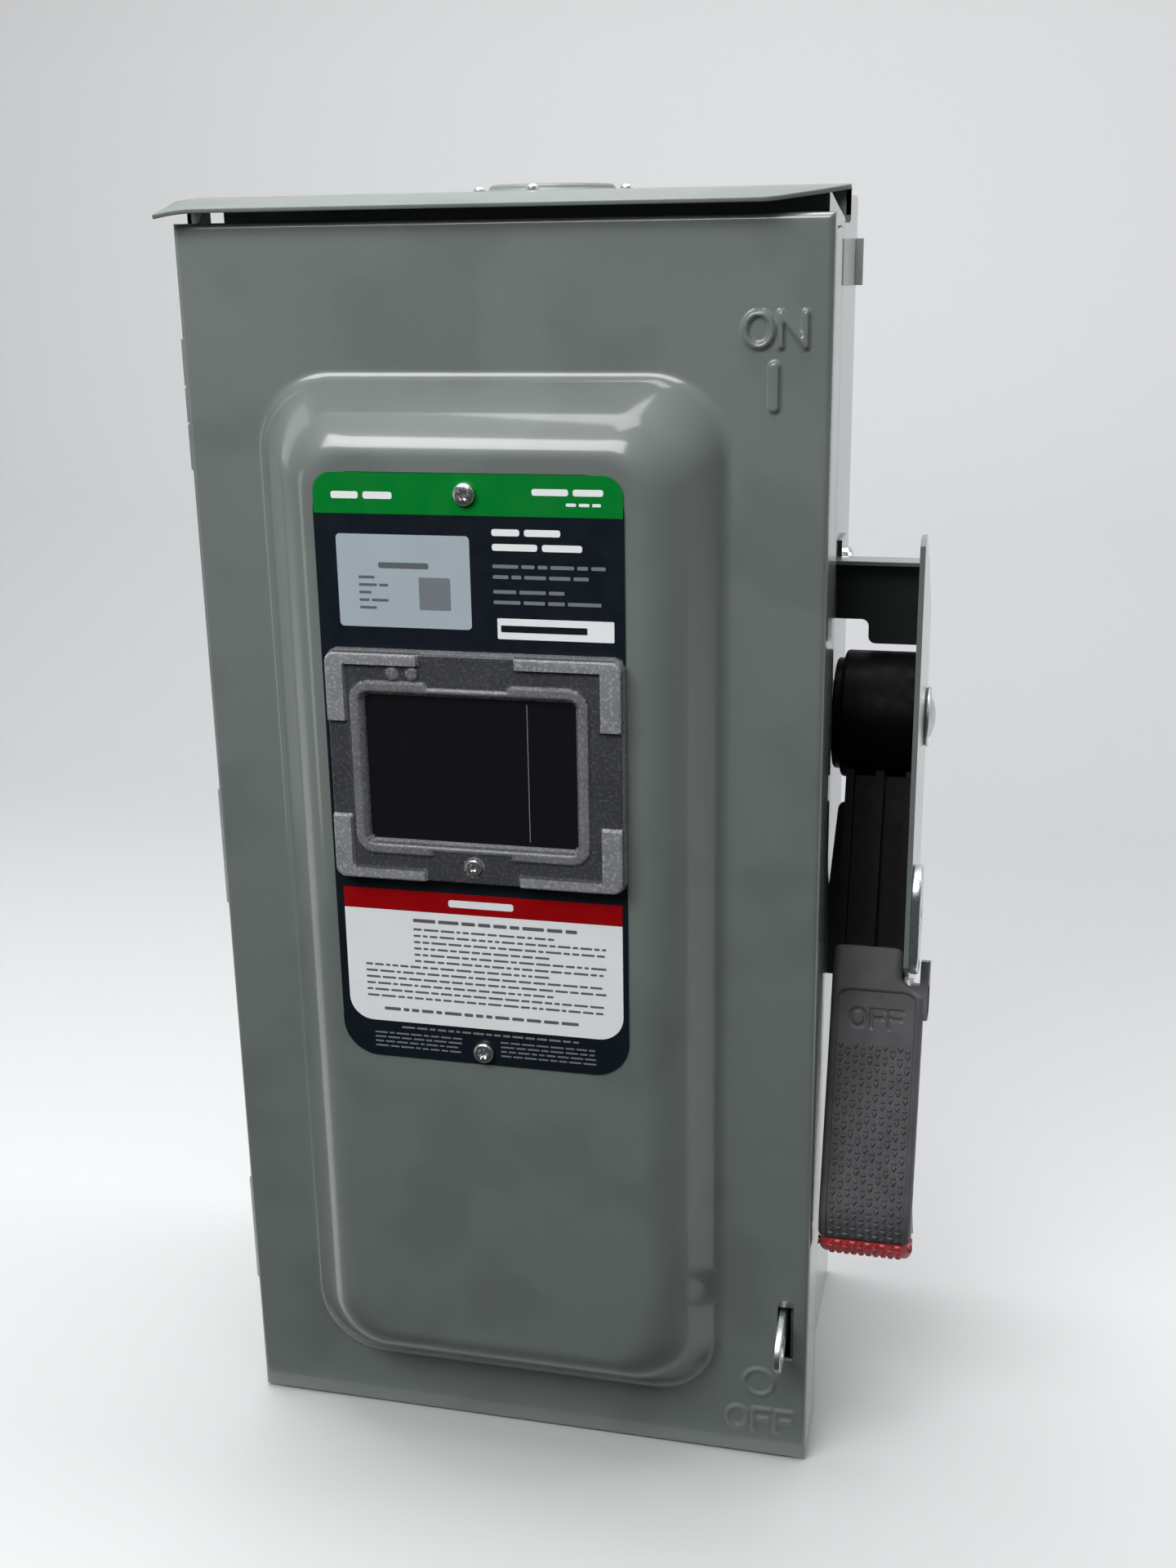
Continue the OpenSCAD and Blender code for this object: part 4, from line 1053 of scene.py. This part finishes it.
def handle_block(bm, x, across, along, radius):
    """A block in the handle's own frame with rounded edges."""
    part = bmesh.new()
    low, high = -along[1], -along[0]
    outline = [(across[0], low), (across[1], low), (across[1], high), (across[0], high)]
    prism(part, outline, *x, HANDLE @ SIDEWAYS)
    soften(part, radius, 3)
    join(bm, part)


def handle():
    """Grip with its ear and texture, arm, red tip and hub."""
    bm = grip_solid("body")
    tip_start = BEND_AT + END_R * math.radians(TIP_ANGLE)
    grip_texture(bm, 121.0, tip_start - 1.6, 0, RECESS)
    handle_block(bm, (GUARD_CLEAR, EAR_OUT), (-12, 2), (89, 110), 0.7)
    handle_block(bm, (EAR_FOOT, EAR_OUT), (-12.2, 2), (97.6, 108), 0.9)
    # Material 1 here is painted shade on the texture's down-facing sides.
    add_piece(bm, "grip_body", "handle", [GRIP_BLACK_LIT, BLACK_SMOOTH_AND_SHADE],
              ("handle_grip",), sharp=38)

    bm = bmesh.new()
    arm_span, rib = (13.0, 90.0), 3
    handle_block(bm, (ARM_IN, ARM_OUT), (-5, 3), arm_span, 0.8)
    for left in (ARM_IN, (ARM_IN + ARM_OUT - rib) / 2, ARM_OUT - rib):
        handle_block(bm, (left, left + rib), (-10, 8), arm_span, 0.7)
    add_piece(bm, "handle_arm", "handle", ARM_BLACK, sharp=38)

    bm = grip_solid("tip")
    grip_texture(bm, tip_start + 1.4, BEND_AT + END_R * math.pi / 2 - 1.5, 1, 0)
    add_piece(bm, "grip_tip", "handle", [RED, RED_SHADE], ("handle_tip",), sharp=38)

    bm = bmesh.new()
    radius = (hub_high.z - hub_low.z) / 2
    length = hub_high.x - hub_low.x
    rim = 1.4
    profile = [(0, 0), (radius - 4, 0)] + arc((radius - 4, 1), 1.0, -90, 0, 4)
    profile += [(radius - 3, 3)] + arc((radius - rim, 3 + rim), rim, -90, 0, 5)
    profile += arc((radius - rim, length - rim), rim, 0, 90, 5)
    profile += [(9, length), (8.4, length - 0.6), (0, length - 0.6)]
    turned(bm, profile, facing((1, 0, 0), (hub_low.x, pivot.y, pivot.z)), segments=96)
    add_piece(bm, "hub_barrel", "handle", BLACK_SMOOTH_AND_SHADE, ("handle_hub",))


# ---- pieces cut from sheet ----


def welded_copy(node):
    """A CAD node's mesh in millimetres, with its seams joined and flat facets merged."""
    bm = bmesh.new()
    bm.from_mesh(frame["nodes"][node].data)
    bmesh.ops.transform(bm, matrix=Matrix.Scale(1 / MM, 4), verts=bm.verts)
    bmesh.ops.remove_doubles(bm, verts=bm.verts, dist=0.004)
    bmesh.ops.dissolve_limit(bm, angle_limit=math.radians(0.4), verts=bm.verts, edges=bm.edges)
    return bm


def cut_shape(bm, node, name, body, materials, fine):
    """A piece from a CAD node's bmesh, with every sharp edge broken."""
    soften(bm, fine, 2, over=50)
    even_shading(add_piece(bm, name, body, materials, (node,), sharp=60))


def enclosure():
    """The box: its outer bends rounded."""
    low, high = cad("enclosure_box")
    bm = welded_copy("enclosure_box")
    bends = []
    for edge in bm.edges:
        middle = edge_middle(edge)
        gaps = (abs(middle.x) - high.x, middle.y - low.y, middle.y - high.y, middle.z - high.z,
                middle.z - low.z)
        if edge.calc_length() > 6 and sum(abs(gap) < 0.1 for gap in gaps) >= 2:
            bends.append(edge)
    soften(bm, 1.4, 4, edges=bends)
    cut_shape(bm, "enclosure_box", "box_shell", "enclosure", PAINT, 0.25)


def bracket():
    """Guard plate with its webs, whose front faces take a near-black paint as painted shade; bends and
    notch corners are rounded.
    """
    bm = welded_copy("handle_bracket")
    webs_front = -44
    # The webs' front faces take material 1, the near-black paint: painted shade.
    for face in bm.faces:
        middle = face.calc_center_median()
        if face.normal.y < -0.9 and middle.y > webs_front and middle.x < guard_high.x - 3:
            face.material_index = 1

    def along(edge, axis):
        run = edge.verts[1].co - edge.verts[0].co
        return abs(run[axis]) > 0.99 * run.length

    corners, bends = [], []
    for edge in bm.edges:
        middle = edge_middle(edge)
        in_web = guard_low.x + 2 < middle.x < guard_high.x - 3
        if in_web and along(edge, 1) and edge.calc_length() < 2:
            corners.append(edge)
        elif abs(middle.x - guard_high.x) < 0.1 and along(edge, 2) and middle.y > webs_front:
            bends.append(edge)
    soften(bm, 2.6, 4, edges=corners)
    soften(bm, 1.6, 4, edges=[e for e in bends if e.is_valid])
    cut_shape(bm, "handle_bracket", "guard_bracket", "enclosure",
              [PAINT, WEB_SHADE_PAINT], 0.25)


def hood():
    """Folded drip hood: flat, fold and visor in one sheet with drooping corners, and its skirts."""
    low, high = cad("drip_hood")
    fold_y, fold_r, drop, skirt_back = -112.0, 6.0, 4.0, -100
    slope = math.atan2(drop, fold_y - low.y)
    reach = (fold_y - low.y) / math.cos(slope)
    swept, corner_w = 23.0, 16
    xs = stops(low.x, (low.x + corner_w, 2), (high.x - swept, 8), (high.x, 1.5))
    bm = bmesh.new()
    rows = []
    for x in xs:
        shorter = 1 - 0.9 * (max(0.0, x - high.x + swept) / swept) ** 1.2
        row = []
        for s in (high.y - fold_y, 8, -8 * shorter, -reach * shorter):
            past = float(ramp_up(-s, fold_r))
            corner = max(0.0, 1 + (abs(x) - high.x) / corner_w) * max(0.0, (-s - 4) / reach)
            pinch = math.copysign(0.1 * max(0.0, s) * (abs(x) / high.x) ** 12, x)
            y = fold_y + s + past * (1 - math.cos(slope))
            z = high.z - past * math.sin(slope) - (2.4 if x < 0 else 0.9) * corner ** 2
            row.append(bm.verts.new((x - pinch, y, z)))
        rows.append(row)
    for a, b in zip(rows, rows[1:]):
        for j in range(len(a) - 1):
            bm.faces.new((a[j], a[j + 1], b[j + 1], b[j]))
    visor = add_piece(bm, "hood_sheet", "enclosure", HOOD_PAINT, ("drip_hood",),
                      recalculate=False)
    thicken(visor, even=False)
    break_edges(visor, 0.3)

    bm = bmesh.new()
    top = high.z - 0.6
    skirt = [(skirt_back, low.z), (skirt_back, top), (fold_y, top), (fold_y, low.z + 1)]
    outline = filleted(skirt, [1.5, 0.01, 0.01, 1.5], 4)
    for inner, outer in ((low.x, low.x + SHEET), (high.x - SHEET, high.x)):
        prism(bm, outline, inner, outer, SIDEWAYS)
    for vert in bm.verts:
        vert.co.x -= math.copysign(0.12 * (vert.co.y - fold_y), vert.co.x)
    # A gusset under each end of the fold, as (inwards from the end, height) points.
    gusset = ((7, high.z - 0.8), (0.05, high.z - 0.8), (0.05, low.z + 0.7), (1.0, low.z + 0.1),
              (2.6, low.z + 3.0), (4.0, low.z + 5.3))
    for side in (-1, 1):
        tab = [(side * (high.x - inward), z) for inward, z in gusset]
        prism(bm, tab[::side], -fold_y - 1.4, -fold_y, FRONT)
    soften(bm, 0.3, 2)
    add_piece(bm, "hood_skirts", "enclosure", HOOD_PAINT)


def closing_plate():
    """Domed hub closing plate."""
    low, high = cad("hub_closing_plate")
    radius = (high.x - low.x) / 2
    centre = ((low.x + high.x) / 2, (low.y + high.y) / 2, low.z)
    rim = 0.6
    profile = [(0, 0), (radius - 0.5, 0)] + arc((radius - rim, rim), rim, -90, 0, 3)
    profile += arc((radius - rim, 0.9), rim, 0, 90, 3) + [(23.6, 1.5), (23.0, 1.5)]
    profile += arc((20.6, 1.9), 1.8, 10, 90, 6)
    bm = bmesh.new()
    turned(bm, profile + [(12, 3.65), (0, 3.68)], Matrix.Translation(centre), segments=96)
    add_piece(bm, "closing_plate", "enclosure", HOOD_PAINT, ("hub_closing_plate",),
              sharp=50)


def rivet_and_lock():
    """Domed pivot rivet, and the rounded lock plate and latch tab."""
    shank_end = cad("pivot_rivet")[0].x - guard_high.x
    profile = [(0, shank_end), (5, shank_end), (5, 0), (10.4, 0)] + arc((10.3, 0.9), 0.7, -60, 60, 4)
    profile += arc((0, -13.5), 17.05, 53, 90, 8)
    bm = bmesh.new()
    turned(bm, profile, facing((1, 0, 0), (guard_high.x, pivot.y, pivot.z)), segments=72)
    add_piece(bm, "rivet", "enclosure", LUG, ("pivot_rivet",), sharp=50)
    cut_shape(welded_copy("lock_plate"), "lock_plate", "lock_plate_rounded", "enclosure",
              ZINC, 0.8)
    cut_shape(welded_copy("latch_tab"), "latch_tab", "hasp", "latch", ZINC, 0.5)


def side_clip():
    """Clip on the side wall: a strap that slopes out to a lip."""
    low, high = cad("side_clip")
    thick, knee = 1.2, high.y - 5
    lip_x, foot_y = high.x - 2.6, low.y + 3.4
    outline = [(low.x, low.y), (low.x + thick, low.y), (lip_x, knee - thick), (high.x, knee - thick),
               (high.x, knee), (lip_x - 0.6, knee), (low.x, foot_y)]
    bm = bmesh.new()
    prism(bm, outline, low.z, high.z, Matrix.Identity(4))
    soften(bm, 0.25, 2)
    # The clip's pale paint is painted light.
    add_piece(bm, "side_clip_bent", "enclosure", CLIP_PAINT_LIT, ("side_clip",))


# ---- CAD nodes that keep their shape ----

# Material, width of the broken edges, and nodes.
CAD_LOOKS = (
    (PAINT, 0.3, "hinge_leaves"),
    (PAINT, 0.25, "knockout_slugs"),
    (RUBBER, 0.2, "hub_gasket"),
    (RUBBER, 0.3, "window_gasket"),
    (NYLON, 0.3, "shaft_bushing"),
    (BRIGHT, 0.3, "bracket_screws"),
    (ZINC, 0.15, "closing_plate_screws"),
    (ZINC, 0.2, "shield_screws"),
    (ZINC, 0.25, "base_screws mechanism_screws"),
    (ZINC, 0.3, "hinge_pins latch_bracket latch_pin line_lug_screws load_lug_screws interlock_pin "
                "interlock_catch blade_pivots interlock_lever"),
    (ZINC, 0.4, "mechanism_frame drive_shaft drive_lever rotor_crank"),
    (SPRING, 0, "latch_spring drive_spring"),
    (PHENOLIC, 0.6, "switch_base"),
    (CROSSBAR, 0.6, "rotor_crossbar"),
    (LUG, 0.5, "ground_lug"),
    (LUG, 0.6, "line_lugs load_lugs"),
    (COPPER, 0.25, "line_jaws load_hinge_clips"),
    (COPPER, 0.4, "switch_blades"),
    (GRID_STEEL, 0.15, "arc_grids"),
    (CLEAR, 0.3, "line_shield"),
    (GREEN_SCREW, 0.3, "ground_lug_screws"),
)


def dress_cad_nodes():
    """Broken edges and a full material on every CAD node that stays visible."""
    for material, width, nodes in CAD_LOOKS:
        for node in nodes.split():
            piece = frame["nodes"][node]
            piece.data.materials.clear()
            piece.data.materials.append(material)
            if width:
                piece.modifiers.new("weld", "WELD").merge_threshold = 0.004 * MM
                break_edges(piece, width)
                even_shading(piece)


# ---- stage ----

# The paper sweep's floor in front of this Y is left out of reflections.
SWEEP_SPLIT = -140
SWEEP_HALF_WIDTH = 3200
SWEEP_BEND = 700
SWEEP_RISE = 2600


def paper_sheet(name, bend_y, side, material):
    """Half of the sweep: floor from the split to a bend, and a wall on that side."""
    floor = cad("enclosure_box")[0].z
    profile = [(SWEEP_SPLIT, floor)]
    for a in map(math.radians, range(0, 91, 5)):
        profile.append((bend_y + side * SWEEP_BEND * math.sin(a), floor + SWEEP_BEND * (1 - math.cos(a))))
    profile.append((bend_y + side * SWEEP_BEND, floor + SWEEP_RISE))
    bm = bmesh.new()
    left, right = ([bm.verts.new((x, y, z)) for y, z in profile]
                   for x in (-SWEEP_HALF_WIDTH, SWEEP_HALF_WIDTH))
    for k in range(len(profile) - 1):
        bm.faces.new((left[k], right[k], right[k + 1], left[k + 1]))
    paper = new_object(bm, name, material)
    return paper


def sweep():
    """Paper floor and walls. The front half is kept out of reflections, as a dark room is."""
    paper = studio_paper()
    paper_sheet("sweep", 500, 1, paper)
    room = paper_sheet("sweep_front", -2200, -1, paper)
    room.visible_glossy = False
    room.visible_diffuse = False


# Name, place and aim in metres, size in metres, watts.
SOFTBOXES = (
    ("front_high", (-0.30, -0.98, 0.86), (0, -0.1, 0.08), (1.0, 0.5), 13),
    ("overhead", (-0.10, -0.16, 1.35), (0, -0.1, 0.1), (1.0, 0.4), 6),
    ("wall_wash", (0.0, 0.3, 2.0), (0.0, 1.2, 0.7), (2.6, 0.8), 38),
    ("left", (-1.6, 0.2, 0.8), (0, -0.1, 0), (0.7, 1.2), 2.5),
    ("right", (1.6, 0.3, 0.8), (0, -0.1, 0), (0.7, 1.2), 4),
    ("left_card", (-1.5, -1.1, -0.1), (-0.1, -0.13, 0), (0.3, 0.9), 1.5),
)


def lights():
    """Rectangular soft lights, and a room that is brighter behind and above."""
    for name, place, aim, size, watts in SOFTBOXES:
        data = having(bpy.data.lights.new(name, "AREA"), shape="RECTANGLE", size=size[0],
                      size_y=size[1], energy=watts)
        turn = (Vector(aim) - Vector(place)).to_track_quat("-Z", "Y")
        light = having(bpy.data.objects.new(name, data), location=place,
                       rotation_mode="QUATERNION", rotation_quaternion=turn)
        bpy.context.collection.objects.link(light)
    world = bpy.data.worlds.new("room")
    bpy.context.scene.world = world
    world.use_nodes = True
    tree = world.node_tree
    split = tree.nodes.new("ShaderNodeSeparateXYZ")
    tree.links.new(tree.nodes.new("ShaderNodeTexCoord").outputs["Generated"], split.inputs["Vector"])
    total = having(tree.nodes.new("ShaderNodeMath"), operation="ADD")
    behind = map_range(tree, split.outputs["Y"], 0.05, 0.55, -0.3, 0.6)
    above = map_range(tree, split.outputs["Z"], 0.0, 0.35, 0.15, 0.9)
    tree.links.new(behind, total.inputs[0])
    tree.links.new(above, total.inputs[1])
    background = tree.nodes["Background"]
    background.inputs["Color"].default_value = (0.97, 0.985, 1.0, 1)
    tree.links.new(total.outputs["Value"], background.inputs["Strength"])


def camera():
    """Camera at the height, turn and tilt that the object is seen from."""
    place = Vector((163.6, -683.8, 212.9)) * MM
    turn, tilt, roll = (math.radians(a) for a in (-13.67, -17.30, -0.93))
    aim = (Matrix.Rotation(-turn, 4, "Z") @ Matrix.Rotation(math.pi / 2 + tilt, 4, "X")
           @ Matrix.Rotation(roll, 4, "Z"))
    data = having(bpy.data.cameras.new("camera"), sensor_width=36.0, lens=40.33)
    view = bpy.data.objects.new("camera", data)
    view.matrix_world = Matrix.Translation(place) @ aim
    bpy.context.collection.objects.link(view)
    bpy.context.scene.camera = view
    bpy.context.scene.view_settings.view_transform = "Standard"


# ---- build ----

for build in (camera, lights, sweep, door_skin, door_knuckles, label, label_screws, bezel,
              window_details, handle, enclosure, bracket, hood, closing_plate, rivet_and_lock,
              side_clip, dress_cad_nodes):
    build()
